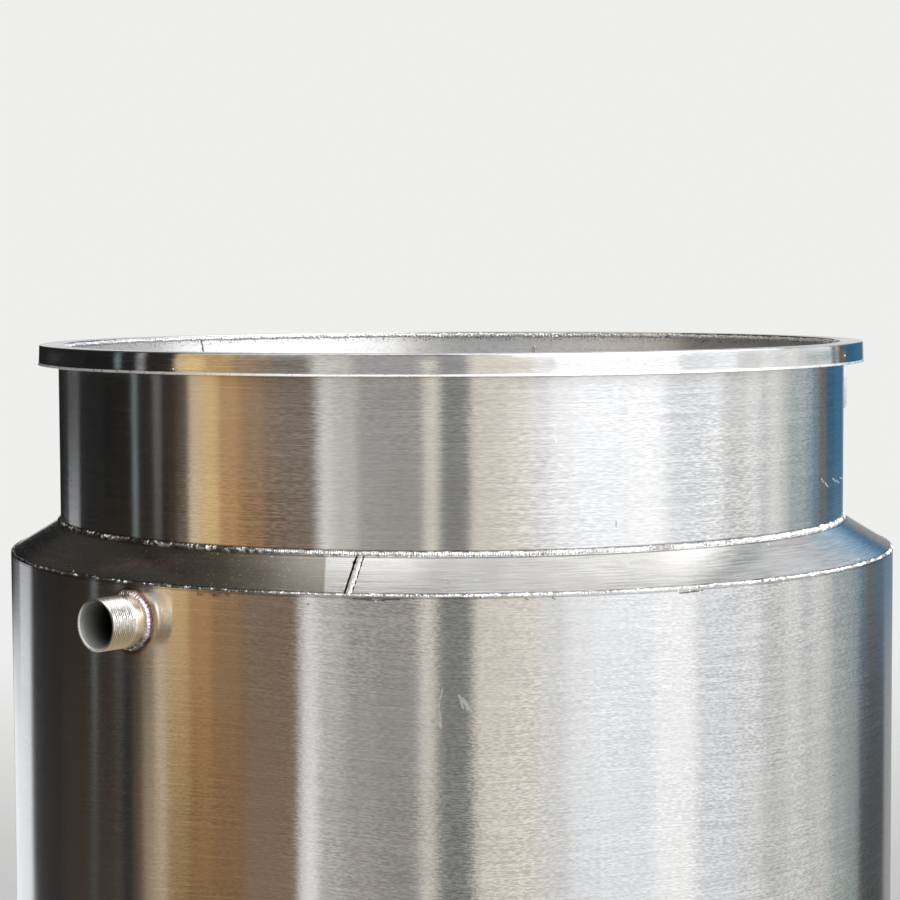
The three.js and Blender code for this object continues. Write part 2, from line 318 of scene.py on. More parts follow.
@dataclass(frozen=True)
class Bead:
    """A weld bead: its section, and how far apart and how deep its ripples are."""

    half_width: float
    height: float
    pitch: float = 4.0
    ripple: float = 0.22
    lumps: float = 0.16
    stray: float = 0.12
    grit: float = 0.1
    per_ripple: float = 5.0
    sides: int = 12
    seed: float = 0.0
    taper: float = 40.0 / 12.0

    def lay(self, path: Callable[[float], Place], length: float, closed: bool = True) -> BMesh:
        """Lays the bead along a path as a closed skin.

        Args:
            path: Gives the place at a part, 0 to 1, of the way along.
            length: Length of the path.
            closed: Whether the path ends where it starts.

        Returns:
            The bead's mesh.
        """
        count = max(1, round(length / self.pitch))
        steps = int(count * self.per_ripple)
        bm = bmesh.new()
        bmesh.ops.create_grid(bm, x_segments=steps, y_segments=self.sides, size=0.5)
        for vert in bm.verts:
            along, angle = vert.co.x + 0.5, (vert.co.y + 0.5) * math.tau
            place = path(along % 1.0 if closed else along)
            across, out = math.cos(angle), math.sin(angle)
            grain = place.origin + Vector((self.seed, 0.0, 0.0))
            fade = 1.0 if closed else min(1.0, min(along, 1.0 - along) * length / self.taper)
            if out > 0.0:
                drift = 1.2 * noise.noise(grain / Wave.DRIFT)
                phase = along * count + drift + 0.4 * across * across
                ridge = 0.5 * math.cos(math.tau * phase) * (0.7 + noise.noise(grain / Wave.SWELL))
                rough = noise.noise(grain / Wave.GRIT + 9.0 * UP * across)
                ridge += self.grit / self.ripple * rough
                out *= 1.0 + self.ripple * ridge + self.lumps * noise.noise(grain / Wave.LUMP)
                across *= 1.0 + 0.1 * ridge
            for wave, shift in ((Wave.EDGE, (7.0, 3.0, 1.0)), (Wave.RAGGED_EDGE, (2.0, 9.0, 4.0))):
                across *= 1.0 + self.stray * noise.noise(grain / wave + Vector(shift))
            across += self.stray * noise.noise(grain / Wave.STRAY)
            vert.co = (place.origin + place.across * (across * self.half_width * fade)
                       + place.out * (out * self.height * fade))
        bmesh.ops.remove_doubles(bm, verts=bm.verts[:], dist=0.002)
        return bm

    def lay_ring(self, radius: float, height: float, tilt: float) -> BMesh:
        """Lays the bead round the tank.

        Args:
            radius: Radius of the bead's core.
            height: Height of the bead's core.
            tilt: How far its face looks above level and outwards, in degrees.

        Returns:
            The bead's mesh.
        """
        angle = math.radians(tilt)

        def path(part: float) -> Place:
            """Place on the ring at a part of the way round."""
            out = outwards(360.0 * part)
            face = out * math.cos(angle) + UP * math.sin(angle)
            across = UP * math.cos(angle) - out * math.sin(angle)
            return Place(out * radius + UP * height, face, across)

        return self.lay(path, math.tau * radius)

    def lay_line(self, start: Vector, end: Vector, out: Vector) -> BMesh:
        """Lays the bead along a straight line.

        Args:
            start: Where it starts.
            end: Where it ends.
            out: The direction its face looks.

        Returns:
            The bead's mesh.
        """
        across = (end - start).cross(out).normalized()
        return self.lay(lambda part: Place(start.lerp(end, part), out, across),
                        (end - start).length, closed=False)


def join(parts: Sequence[BMesh]) -> BMesh:
    """Gathers shapes into one mesh.

    Args:
        parts: The shapes. They are used up.

    Returns:
        One mesh of them all.
    """
    whole = bmesh.new()
    for part in parts:
        scrap = keep_mesh("scrap", part)
        whole.from_mesh(scrap)
        bpy.data.meshes.remove(scrap)
    return whole


def splash(drops: Sequence[tuple[Vector, Vector, float]]) -> BMesh:
    """Draws weld spatter.

    Args:
        drops: Each drop's middle, the direction it stands out in and its radius.

    Returns:
        The drops as one mesh.
    """
    bm = bmesh.new()
    for middle, out, radius in drops:
        made = bmesh.ops.create_icosphere(bm, subdivisions=2, radius=radius)["verts"]
        bmesh.ops.scale(bm, vec=(1.0, 1.2, 0.6), verts=made)
        turned = out.to_track_quat("Z", "Y").to_matrix()
        bmesh.ops.rotate(bm, cent=(0, 0, 0), matrix=turned, verts=made)
        bmesh.ops.translate(bm, vec=middle, verts=made)
    return bm


# Finishes

class Graph:
    """Adds nodes to a tree with short calls."""

    def __init__(self, tree: bpy.types.NodeTree) -> None:
        """Starts from an empty tree."""
        self.tree = tree
        tree.nodes.clear()

    def add(self, kind: str, feeds: dict | None = None, **settings: object) -> bpy.types.Node:
        """Adds a node.

        Args:
            kind: The node's type, without its ShaderNode start.
            feeds: Values or sockets for its inputs, by name or number.
            settings: The node's own settings.

        Returns:
            The node.
        """
        node = self.tree.nodes.new("ShaderNode" + kind if kind[:4] != "Node" else kind)
        for name, value in settings.items():
            setattr(node, name, value)
        for key, value in (feeds or {}).items():
            if isinstance(value, Socket):
                self.tree.links.new(value, node.inputs[key])
            else:
                node.inputs[key].default_value = value
        return node

    def math(self, operation: str, first: Socket | float, second: Socket | float = 0.0,
             third: Socket | float = 0.0, clamp: bool = False) -> Socket:
        """Works out a number from up to three others.

        Args:
            operation: The Math node's operation.
            first: First number.
            second: Second number.
            third: Third number.
            clamp: Whether the result stays from 0 to 1.

        Returns:
            The result.
        """
        feeds = {0: first, 1: second, 2: third}
        return self.add("Math", feeds, operation=operation, use_clamp=clamp).outputs[0]

    def vector(self, operation: str, first: Socket | Colour,
               second: Socket | Colour = (0.0, 0.0, 0.0)) -> Socket:
        """Works out a vector from two others.

        Args:
            operation: The Vector Math node's operation.
            first: First vector.
            second: Second vector.

        Returns:
            The result: a number for a length, distance or dot product.
        """
        node = self.add("VectorMath", {0: first, 1: second}, operation=operation)
        return node.outputs[1 if operation in ("LENGTH", "DISTANCE", "DOT_PRODUCT") else 0]

    def scale(self, vector: Socket, factor: Socket) -> Socket:
        """Makes a vector longer or shorter."""
        feeds = {0: vector, "Scale": factor}
        return self.add("VectorMath", feeds, operation="SCALE").outputs[0]

    def axes(self, vector: Socket) -> Outputs:
        """Parts of a vector along x, y and z."""
        return self.add("SeparateXYZ", {0: vector}).outputs

    def mix(self, factor: Socket, first: Socket, second: float) -> Socket:
        """Blends two numbers."""
        return self.add("Mix", {0: factor, 2: first, 3: second}, data_type="FLOAT").outputs[0]

    def remap(self, value: Socket, low: float | Socket, high: float, to_low: float = 0.0,
              to_high: float = 1.0) -> Socket:
        """Carries a range of values smoothly to another.

        Args:
            value: The value.
            low: Where the range starts.
            high: Where it ends.
            to_low: What its start becomes.
            to_high: What its end becomes.

        Returns:
            The carried value.
        """
        feeds = {"Value": value, "From Min": low, "From Max": high, "To Min": to_low,
                 "To Max": to_high}
        return self.add("MapRange", feeds, interpolation_type="SMOOTHSTEP").outputs[0]

    def remap_line(self, value: Socket, low: float, high: float) -> Socket:
        """Carries a range of values evenly to 0 to 1."""
        return self.add("MapRange", {"Value": value, "From Min": low, "From Max": high}).outputs[0]

    def noise(self, vector: Socket, scale: float | Socket, detail: float = 2.0,
              roughness: float = 0.5, distortion: float = 0.0) -> Socket:
        """Reads a cloudy pattern.

        Args:
            vector: Where it is read.
            scale: How fine it is.
            detail: Octaves of finer pattern.
            roughness: How strong those are.
            distortion: How far it swirls.

        Returns:
            A value round 0.5.
        """
        feeds = {"Vector": vector, "Scale": scale, "Detail": detail, "Roughness": roughness,
                 "Distortion": distortion}
        return self.add("TexNoise", feeds).outputs[0]

    def blend(self, factor: Socket | float, first: Socket | Colour, second: Socket | Colour,
              mode: str = "MIX") -> Socket:
        """Blends two colours.

        Args:
            factor: Share of the second.
            first: First colour.
            second: Second colour.
            mode: How they blend.

        Returns:
            The blended colour.
        """
        feeds = {0: factor, 6: paint(first), 7: paint(second)}
        return self.add("Mix", feeds, data_type="RGBA", blend_type=mode).outputs[2]

    def ramp(self, value: Socket, stops: Sequence[tuple[float, Colour]]) -> Socket:
        """Looks a value up on a scale of colours.

        Args:
            value: The value.
            stops: Colours by place, from 0 to 1.

        Returns:
            The colour.
        """
        node = self.add("ValToRGB", {0: value})
        elements = node.color_ramp.elements
        while len(elements) < len(stops):
            elements.new(0.5)
        for element, (place, colour) in zip(elements, stops):
            element.position, element.color = place, paint(colour)
        return node.outputs[0]

    def effect(self, name: str, **feeds: object) -> Outputs:
        """Adds a shared effect.

        Args:
            name: The effect's name in GROUPS.
            feeds: Values or sockets for its inputs.

        Returns:
            The effect's outputs.
        """
        return self.add("Group", feeds, node_tree=GROUPS[name]).outputs

    def shade(self, **feeds: object) -> None:
        """Adds the surface's shader, from its inputs with _ for each space, and the output."""
        named = {label.replace("_", " "): value for label, value in feeds.items()}
        shader = self.add("BsdfPrincipled", named)
        self.add("OutputMaterial", {"Surface": shader.outputs[0]})


def paint(colour: Socket | Colour) -> Socket | tuple[float, float, float, float]:
    """Colour with full opacity, or the socket as it is."""
    return colour if isinstance(colour, Socket) else (*colour[:3], 1.0)


def start_finish(name: str) -> tuple[bpy.types.Material, Graph, Socket]:
    """Starts a material.

    Args:
        name: The material's name.

    Returns:
        The material, its nodes and the place on the piece that they read.
    """
    material = bpy.data.materials.new(name)
    material.use_nodes = True
    graph = Graph(material.node_tree)
    return material, graph, graph.add("TexCoord").outputs["Object"]


Fill = Callable[[Graph, bpy.types.Node, bpy.types.Node], None]


def make_group(name: str, inputs: dict[str, str], outputs: dict[str, str],
               fill: Fill) -> bpy.types.NodeTree:
    """Makes an effect that several finishes share.

    Args:
        name: The group's name.
        inputs: Kind of each input by name.
        outputs: Kind of each output by name.
        fill: Adds the nodes between the group's two ends.

    Returns:
        The group.
    """
    tree = bpy.data.node_groups.new(name, "ShaderNodeTree")
    for direction, sockets in (("INPUT", inputs), ("OUTPUT", outputs)):
        for label, kind in sockets.items():
            tree.interface.new_socket(label, in_out=direction, socket_type="NodeSocket" + kind)
    graph = Graph(tree)
    fill(graph, graph.add("NodeGroupInput"), graph.add("NodeGroupOutput"))
    return tree


def fill_grain(graph: Graph, given: bpy.types.Node, result: bpy.types.Node) -> None:
    """Long fine strokes: their tone, their depth and a few that cut deeper.

    Args:
        graph: The group's nodes.
        given: The group's inputs.
        result: The group's outputs.
    """
    where = given.outputs["Vector"]
    way = graph.axes(where)
    level = graph.vector("MULTIPLY", where, LEVEL)
    fall = graph.math("SUBTRACT", way[2], graph.vector("LENGTH", level))
    drift = graph.noise(where, 1.9, 1.0)
    fall = graph.math("MULTIPLY_ADD", drift, given.outputs["Lean"], fall)
    place = graph.add("CombineXYZ", {0: way[0], 1: way[1], 2: fall}).outputs[0]
    place = graph.vector("MULTIPLY", place, given.outputs["Stretch"])
    fine = graph.noise(place, 1.0, 2.0, 0.45)
    long = graph.noise(graph.vector("MULTIPLY", place, (0.08, 0.08, 0.6)), 1.0, 2.0, 0.6)
    patches = graph.noise(where, 8.0, 2.0, 0.5)
    tone = graph.math("ADD", graph.math("MULTIPLY", fine, 0.65), graph.math("MULTIPLY", long, 0.35))
    strength = graph.remap(patches, 0.35, 0.65, 0.6, 1.3)
    strength = graph.math("MULTIPLY", strength, given.outputs["Strength"])
    tone = graph.math("MULTIPLY_ADD", graph.math("SUBTRACT", tone, 0.5), strength, 0.5)
    dents = graph.noise(where, 16.0, 1.0)
    height = graph.math("MULTIPLY_ADD", dents, 1.5, graph.math("MULTIPLY", fine, strength))
    links = graph.tree.links
    links.new(graph.remap(tone, 0.3, 0.7), result.inputs["Tone"])
    links.new(height, result.inputs["Height"])
    links.new(graph.remap(long, 0.64, 0.74), result.inputs["Scratch"])


def fill_smudge(graph: Graph, given: bpy.types.Node, result: bpy.types.Node) -> None:
    """Soft uneven patches, as handling and wiping leave.

    Args:
        graph: The group's nodes.
        given: The group's inputs.
        result: The group's outputs.
    """
    cloud = graph.noise(given.outputs["Vector"], given.outputs["Scale"], 4.0, 0.55, 0.6)
    graph.tree.links.new(graph.remap(cloud, 0.35, 0.7), result.inputs["Mask"])


def fill_heat(graph: Graph, given: bpy.types.Node, result: bpy.types.Node) -> None:
    """Colours that welding heat leaves, from purple at the bead to straw farther off.

    Args:
        graph: The group's nodes.
        given: The group's inputs.
        result: The group's outputs.
    """
    uneven = graph.noise(given.outputs["Vector"], 55.0, 3.0, 0.6)
    ratio = graph.math("DIVIDE", given.outputs["Distance"], given.outputs["Reach"])
    ratio = graph.math("ADD", ratio, graph.math("MULTIPLY_ADD", uneven, 0.7, -0.35), clamp=True)
    tint = graph.ramp(ratio, HEAT_COLOURS)
    links = graph.tree.links
    links.new(tint, result.inputs["Tint"])
    links.new(graph.remap(ratio, 0.15, 1.0, 1.0, 0.0), result.inputs["Mask"])


def fill_mark(graph: Graph, given: bpy.types.Node, result: bpy.types.Node) -> None:
    """One short scratch with ragged edges, between two points.

    Args:
        graph: The group's nodes.
        given: The group's inputs.
        result: The group's outputs.
    """
    place, start, end, width, core, ragged = given.outputs[:6]
    reach = graph.vector("SUBTRACT", end, start)
    shaken = graph.add("TexNoise", {"Vector": place, "Detail": 2.0,
                                    "Scale": graph.math("DIVIDE", 0.36, width)})
    shift = graph.vector("SUBTRACT", shaken.outputs["Color"], (0.5, 0.5, 0.5))
    shift = graph.scale(shift, graph.math("MULTIPLY", width, ragged))
    offset = graph.vector("ADD", graph.vector("SUBTRACT", place, start), shift)
    share = graph.math("DIVIDE", graph.vector("DOT_PRODUCT", offset, reach),
                       graph.vector("DOT_PRODUCT", reach, reach), clamp=True)
    distance = graph.vector("DISTANCE", offset, graph.scale(reach, share))
    ratio = graph.math("DIVIDE", distance, width)
    graph.tree.links.new(graph.remap(ratio, core, 1.0, 1.0, 0.0), result.inputs["Mask"])


HEAT_COLOURS = (
    (0.0, (0.26, 0.17, 0.16)),
    (0.22, (0.34, 0.24, 0.22)),
    (0.4, (0.52, 0.36, 0.22)),
    (0.65, (0.72, 0.55, 0.34)),
    (1.0, (0.78, 0.72, 0.62)),
)

GROUPS = {
    "grain": make_group("brushed grain", {"Vector": "Vector", "Stretch": "Vector", "Lean": "Float",
                                         "Strength": "Float"},
                        {"Tone": "Float", "Height": "Float", "Scratch": "Float"}, fill_grain),
    "smudge": make_group("smudges", {"Vector": "Vector", "Scale": "Float"}, {"Mask": "Float"},
                         fill_smudge),
    "heat": make_group("heat tint", {"Vector": "Vector", "Distance": "Float", "Reach": "Float"},
                       {"Tint": "Color", "Mask": "Float"}, fill_heat),
    "mark": make_group("scratch mark", {"Vector": "Vector", "Start": "Vector", "End": "Vector",
                                        "Width": "Float", "Core": "Float", "Ragged": "Float"},
                      {"Mask": "Float"}, fill_mark),
}


class Strokes(Enum):
    """Which way a sheet was brushed: how close its strokes lie along x, y and z, per metre."""

    ROUND = (215.0, 215.0, 1050.0)
    LONG = (140.0, 140.0, 1150.0)
    SWEPT = (30.0, 30.0, 1200.0)


@dataclass(frozen=True)
class HeatMark:
    """A weld's heat tint: a level ring at a height, or a patch about a point, all in metres; a dark
    one is painted shade along a weld's toe instead.
    """

    reach: float
    height: float = 0.0
    point: Vector | None = None
    start: float = 0.0
    strength: float = 0.8
    # True paints a thin line of shade along a weld's toe instead of heat tint.
    dark: bool = False


@dataclass(frozen=True)
class WhitenedBand:
    """Part of a sheet inside a radius and above a height, in metres, made whiter and rougher:
    ground by hand on the neck's inner face, and a painted highlight below the height on the rim's
    lower lip, where the fade is negative.
    """

    radius: float
    height: float
    pitted: float
    fade: float = 0.03
    roughness: float = 0.42
    metallic: float = 0.8
    colour: Colour = (0.95, 0.95, 0.95)


@dataclass(frozen=True)
class Mark:
    """A scratch, a stain or a dark line across a sheet, from one point to another, in metres."""

    start: Vector
    end: Vector
    width: float
    strength: float = 0.7
    colour: Colour = (0.9, 0.9, 0.9)
    roughness: float = 0.4
    core: float = 0.5
    ragged: float = 2.5
    frost: float = 0.0


def scratches(radius: float, rows: Sequence[tuple[float, ...]], **look: object) -> tuple[Mark, ...]:
    """Scratches on one round face.

    Args:
        radius: The face's radius, in millimetres.
        rows: Each one's first azimuth and height, last azimuth and height, width and strength.
        look: What they share besides.

    Returns:
        The scratches.
    """
    return tuple(Mark(spot(radius, *row[:2]), spot(radius, *row[2:4]), *row[4:], **look)
                 for row in rows)


def stain(start: Vector, end: Vector, width: float, strength: float, colour: Colour) -> Mark:
    """Soft cloudy discolouring from one point to another."""
    return Mark(start, end, width, strength, colour, roughness=0.1, core=0.0, ragged=0.8)


@dataclass(frozen=True)
class PaintedShadePart:
    """Painted shade over part of a sheet: beyond a distance to one side, on one face."""

    side: Vector
    front: Vector
    distance: float
    shade: Colour


@dataclass
class Surface:
    """A sheet's surface while its finish builds up: its nodes and what they say so far."""

    graph: Graph
    place: Socket
    colour: Socket
    rough: Socket
    metallic: Socket | float = 1.0

    def paint_shade(self, painted_shade: PaintedShadePart) -> None:
        """Paints shade over the part of the sheet beyond a distance to one side, on its front face.
        """
        graph = self.graph
        beyond = graph.vector("DOT_PRODUCT", self.place, painted_shade.side)
        beyond = graph.remap(beyond, painted_shade.distance, painted_shade.distance + 0.003)
        facing = graph.remap(graph.vector("DOT_PRODUCT", self.place, painted_shade.front), 0.0, 0.12)
        amount = graph.math("MULTIPLY", beyond, facing)
        self.colour = graph.blend(amount, self.colour, painted_shade.shade, "MULTIPLY")

    def tint(self, heated: HeatMark) -> None:
        """Tints the part that a weld heated, or paints shade along a weld's toe for a dark mark."""
        graph = self.graph
        if heated.point is None:
            above = graph.math("SUBTRACT", graph.axes(self.place)[2], heated.height)
            distance = graph.math("ABSOLUTE", above)
        else:
            distance = graph.vector("DISTANCE", self.place, heated.point)
        distance = graph.math("SUBTRACT", distance, heated.start)
        heat = graph.effect("heat", Vector=self.place, Distance=distance, Reach=heated.reach)
        amount = graph.math("MULTIPLY", heat["Mask"], heated.strength)
        self.colour = graph.blend(amount, self.colour, TOE_SHADE if heated.dark else heat["Tint"])

    def whiten_band(self, band: WhitenedBand) -> None:
        """Roughens and whitens the band, with pits at its top: grinding on the neck, a painted
        highlight on the rim's lip.
        """
        graph, place = self.graph, self.place
        radius = graph.vector("LENGTH", graph.vector("MULTIPLY", place, LEVEL))
        height = graph.axes(place)[2]
        inside = graph.math("LESS_THAN", radius, band.radius)
        above = graph.remap(height, band.height, band.height + band.fade)
        squashed = graph.vector("MULTIPLY", place, (1.0, 1.0, 2.0))
        streaks = graph.remap(graph.noise(squashed, 150.0, 4.0, 0.7, 1.0), 0.36, 0.56, 0.6, 1.0)
        amount = graph.math("MULTIPLY", inside, graph.math("MULTIPLY", above, streaks))
        pits = graph.remap(graph.noise(place, 620.0, 2.0, 0.7), 0.57, 0.63)
        near = graph.remap(height, band.pitted, band.pitted + 0.006)
        pits = graph.math("MULTIPLY", graph.math("MULTIPLY", pits, near), inside)
        ground = graph.blend(amount, self.colour, band.colour)
        self.colour = graph.blend(pits, ground, PITTED)
        self.rough = graph.mix(amount, self.rough, band.roughness)
        self.metallic = graph.math("MULTIPLY_ADD", amount, band.metallic - 1.0, 1.0)

    def mar(self, mark: Mark) -> None:
        """Adds a scratch, a stain or a dark line."""
        graph = self.graph
        amount = graph.effect("mark", Vector=self.place, Start=mark.start, End=mark.end,
                              Width=mark.width, Core=mark.core, Ragged=mark.ragged)[0]
        amount = graph.math("MULTIPLY", amount, mark.strength)
        if not mark.core:
            cloud = graph.remap(graph.noise(self.place, 110.0, 5.0, 0.65), 0.36, 0.6, 0.15, 1.0)
            amount = graph.math("MULTIPLY", amount, cloud)
        self.colour = graph.blend(amount, self.colour, mark.colour)
        self.rough = graph.math("MULTIPLY_ADD", amount, mark.roughness, self.rough)
        if mark.frost:
            self.metallic = graph.math("MULTIPLY_ADD", amount, -mark.frost, self.metallic)

    def fleck(self, strength: float) -> None:
        """Adds fine pale flecks."""
        fine = self.graph.noise(self.place, 560.0, 1.0)
        flecks = self.graph.remap(fine, 0.73, 0.77, 0.0, strength)
        self.colour = self.graph.blend(flecks, self.colour, PALE_FLECK)
        self.rough = self.graph.math("MULTIPLY_ADD", flecks, 0.4, self.rough)


@dataclass(frozen=True)
class Sheet:
    """Brushed stainless sheet."""

    name: str
    colour: Colour = (0.66, 0.655, 0.645)
    roughness: float = 0.15
    anisotropic: float = 1.0
    strokes: Strokes = Strokes.ROUND
    lean: float = 0.0
    depth: float = 0.5
    contrast: float = 0.15
    smudge: float = 0.03
    flecks: float = 0.0
    brushed: tuple[tuple[float, float], ...] = ((0.0, 1.0),)
    heat: tuple[HeatMark, ...] = ()
    marks: tuple[Mark, ...] = ()
    ground: WhitenedBand | None = None
    painted_shade: PaintedShadePart | None = None

    def make(self) -> bpy.types.Material:
        """Builds the finish as a material."""
        material, graph, place = start_finish(self.name)
        aside = graph.vector("DOT_PRODUCT", place, level_side(PHOTO_AZIMUTH))
        stops = [((part + HALF_SPAN) / (2.0 * HALF_SPAN), (depth,) * 3)
                 for part, depth in self.brushed]
        strength = graph.ramp(graph.remap_line(aside, -HALF_SPAN, HALF_SPAN), stops)
        grain = graph.effect("grain", Vector=place, Stretch=self.strokes.value, Lean=self.lean,
                             Strength=strength)
        smudge = graph.effect("smudge", Vector=place, Scale=5.0)[0]
        dark, light, wiped, bright = (
            tuple(min(1.0, part * factor) for part in self.colour)
            for factor in (1.0 - self.contrast, 1.0 + self.contrast, 0.8, 1.3))
        colour = graph.blend(grain["Tone"], dark, light)
        handled = graph.math("MULTIPLY", smudge, 4.0 * self.smudge, clamp=True)
        colour = graph.blend(handled, colour, wiped)
        colour = graph.blend(graph.math("MULTIPLY", grain["Scratch"], 0.35), colour, bright)
        rough = graph.math("MULTIPLY_ADD", grain["Tone"], 0.06, self.roughness - 0.03)
        rough = graph.math("ADD", rough, graph.math("MULTIPLY", smudge, self.smudge))
        surface = Surface(graph, place, colour, rough)
        if self.painted_shade:
            surface.paint_shade(self.painted_shade)
        for heated in self.heat:
            surface.tint(heated)
        if self.ground:
            surface.whiten_band(self.ground)
        for mark in self.marks:
            surface.mar(mark)
        if self.flecks:
            surface.fleck(self.flecks)
        bump = graph.add("Bump", {"Strength": self.depth, "Distance": 0.00015,
                                  "Height": grain["Height"]})
        tangent = graph.add("Tangent", direction_type="RADIAL", axis="Z")
        graph.shade(Base_Color=surface.colour, Metallic=surface.metallic,
                    Roughness=surface.rough, Anisotropic=self.anisotropic,
                    Anisotropic_Rotation=0.25, Tangent=tangent.outputs[0],
                    Normal=bump.outputs[0])
        return material


@dataclass(frozen=True)
class PipeSteel:
    """Turned pipe: straw-coloured towards its weld, with a painted golden reflection along its
    underside; painted shade in the roots of its thread, strongest underneath; matt grey inside,
    with painted shade deeper in its bore; and a painted highlight on one side of its cut mouth.

    The pipe's axis runs through a point, in metres, across the directions that the mask keeps.
    """

    name: str
    centre: Vector
    mask: Colour
    weld: Vector
    bore: float = 0.021
    root: float = 0.0228
    crest: float = 0.0237
    mouth: float = 0.0412
    colour: Colour = (0.92, 0.9, 0.87)
    straw: Colour = (0.8, 0.6, 0.36)
    inside: Colour = (0.46, 0.46, 0.46)
    cut: Colour = (0.9, 0.9, 0.89)
    reamed: float = 0.0007

    def make(self) -> bpy.types.Material:
        """Builds the finish as a material."""
        material, graph, place = start_finish(self.name)
        offset = graph.vector("SUBTRACT", place, self.centre)
        from_axis = graph.vector("MULTIPLY", offset, self.mask)
        radius = graph.vector("LENGTH", from_axis)
        along = tuple(1.0 - part for part in self.mask)
        from_weld = graph.vector("MULTIPLY", graph.vector("SUBTRACT", place, self.weld), along)
        distance = graph.vector("LENGTH", from_weld)
        fine = graph.noise(place, 800.0, 2.0, 0.6)
        broad = graph.noise(place, 90.0, 2.0, 0.5)
        reach = graph.math("MULTIPLY_ADD", broad, 0.012, distance)
        rise = graph.axes(from_axis)[2]
        # Heat straw towards the weld, and a painted golden reflection along the pipe's underside.
        straw = graph.math("MAXIMUM", graph.remap(reach, 0.006, 0.026, 0.9, 0.0),
                           graph.remap(rise, -0.014, 0.004, 0.9, 0.0))
        colour = graph.blend(straw, self.colour, self.straw)
        colour = graph.blend(graph.remap(fine, 0.4, 0.7, 0.0, 0.15), colour, (0.5, 0.42, 0.32))
        # Painted shade in the thread's roots, strongest on the underside and faint on top.
        root = graph.math("MULTIPLY", graph.remap(radius, self.root, self.crest, 1.0, 0.0),
                          graph.math("LESS_THAN", distance, self.mouth))
        root = graph.math("MULTIPLY", root, graph.remap(rise, -0.01, 0.006, 1.0, 0.15))
        colour = graph.blend(root, colour, (0.05, 0.035, 0.025))
        # Painted shade deeper in the bore.
        hollow = graph.math("LESS_THAN", radius, self.bore + self.reamed)
        painted_bore_shade = graph.blend(graph.remap(distance, 0.006, 0.036), (0.02, 0.02, 0.02), self.inside)
        colour = graph.blend(hollow, colour, painted_bore_shade)
        rough = graph.mix(hollow, graph.remap(fine, 0.3, 0.7, 0.2, 0.32), 0.72)
        end = graph.math("GREATER_THAN", distance, self.mouth)
        # Painted highlight on the lower side of the cut mouth, painted shade round the rest of it.
        facing = graph.vector("DOT_PRODUCT", from_axis, (-0.8, 0.0, -0.6))
        cut = graph.blend(graph.remap(facing, -0.006, 0.016), (0.13, 0.12, 0.1), self.cut)
        bump = graph.add("Bump", {"Strength": 0.15, "Distance": 0.0002, "Height": fine})
        graph.shade(Base_Color=graph.blend(end, colour, cut), Roughness=rough,
                    Metallic=graph.math("MULTIPLY_ADD", end, -0.5, 1.0), Normal=bump.outputs[0])
        return material


@dataclass(frozen=True)
class WeldMetal:
    """Weld metal as it cooled: bright with darker specks and hollows."""

    name: str
    colour: Colour = (0.78, 0.77, 0.76)
    shade: Colour = (0.25, 0.23, 0.22)
    specks: float = 0.35
    roughness: float = 0.29
    # Point about which the bead is darkened, fading out past a reach: partly soot, partly painted
    # shade.
    soot_and_shade: Vector | None = None
    soot_and_shade_reach: float = 0.3
    soot_and_shade_fade: float = 1.3
    soot_and_shade_depth: float = 0.93
    metallic: float = 1.0
    grain: float = 0.5

    def make(self) -> bpy.types.Material:
        """Builds the finish as a material."""
        material, graph, place = start_finish(self.name)
        fine = graph.noise(place, 560.0, 3.0, 0.65)
        broad = graph.noise(place, 60.0, 2.0, 0.5)
        amount = graph.math("MULTIPLY", graph.remap(fine, 0.5, 0.6), self.specks * 1.6, clamp=True)
        colour = graph.blend(amount, self.colour, self.shade)
        colour = graph.blend(graph.remap(broad, 0.4, 0.75, 0.0, 0.5), colour,
                             tuple(0.72 * c for c in self.colour))
        if self.soot_and_shade:
            away = graph.vector("DISTANCE", place, self.soot_and_shade)
            soot_and_shade_mask = graph.remap(away, self.soot_and_shade_reach, self.soot_and_shade_reach * self.soot_and_shade_fade,
                                self.soot_and_shade_depth, 0.0)
            # Pale gaps left in the darkening are painted glints.
            painted_glint = graph.remap(graph.noise(place, 190.0, 2.0), 0.53, 0.59, 1.0, 0.1)
            colour = graph.blend(graph.math("MULTIPLY", soot_and_shade_mask, painted_glint), colour, SOOT_AND_SHADE)
        rough = graph.remap(fine, 0.3, 0.7, self.roughness - 0.1, self.roughness + 0.12)
        bump = graph.add("Bump", {"Strength": self.grain, "Distance": 0.0004, "Height": fine})
        graph.shade(Base_Color=colour, Metallic=self.metallic, Roughness=rough,
                    Normal=bump.outputs[0])
        return material


# Sub-assemblies

NECK_MARKS = (
    *scratches(400, ((53.4, 1326, 53.6, 1321, 0.0007, 0.7), (54.0, 1301, 54.4, 1299, 0.0008, 0.7))),
    *scratches(400, ((62.6, 1267, 63.4, 1262, 0.0008, 0.35),
                     (63.4, 1262, 64.6, 1266, 0.0008, 0.35)), colour=(0.2, 0.2, 0.2)),
    *scratches(400, ((61.6, 1249, 61.6, 1245, 0.0008, 0.7),), colour=(0.1, 0.1, 0.1)),
    *scratches(397, ((265.9, 1394, 265.6, 1383, 0.0016, 0.85),), colour=(0.12, 0.08, 0.06)),
    *scratches(397, ((228.5, 1394, 228.9, 1384, 0.0009, 0.8),)),
    *scratches(400, ((103.0, 1271, 103.8, 1267, 0.0012, 0.6),
                     (104.6, 1266, 106.0, 1262, 0.0012, 0.6),
                     (108.6, 1268, 110.4, 1264, 0.0012, 0.6),
                     (111.0, 1265, 113.4, 1261, 0.0012, 0.6),
                     (114.0, 1266, 118.0, 1263, 0.0012, 0.6)), frost=0.6))
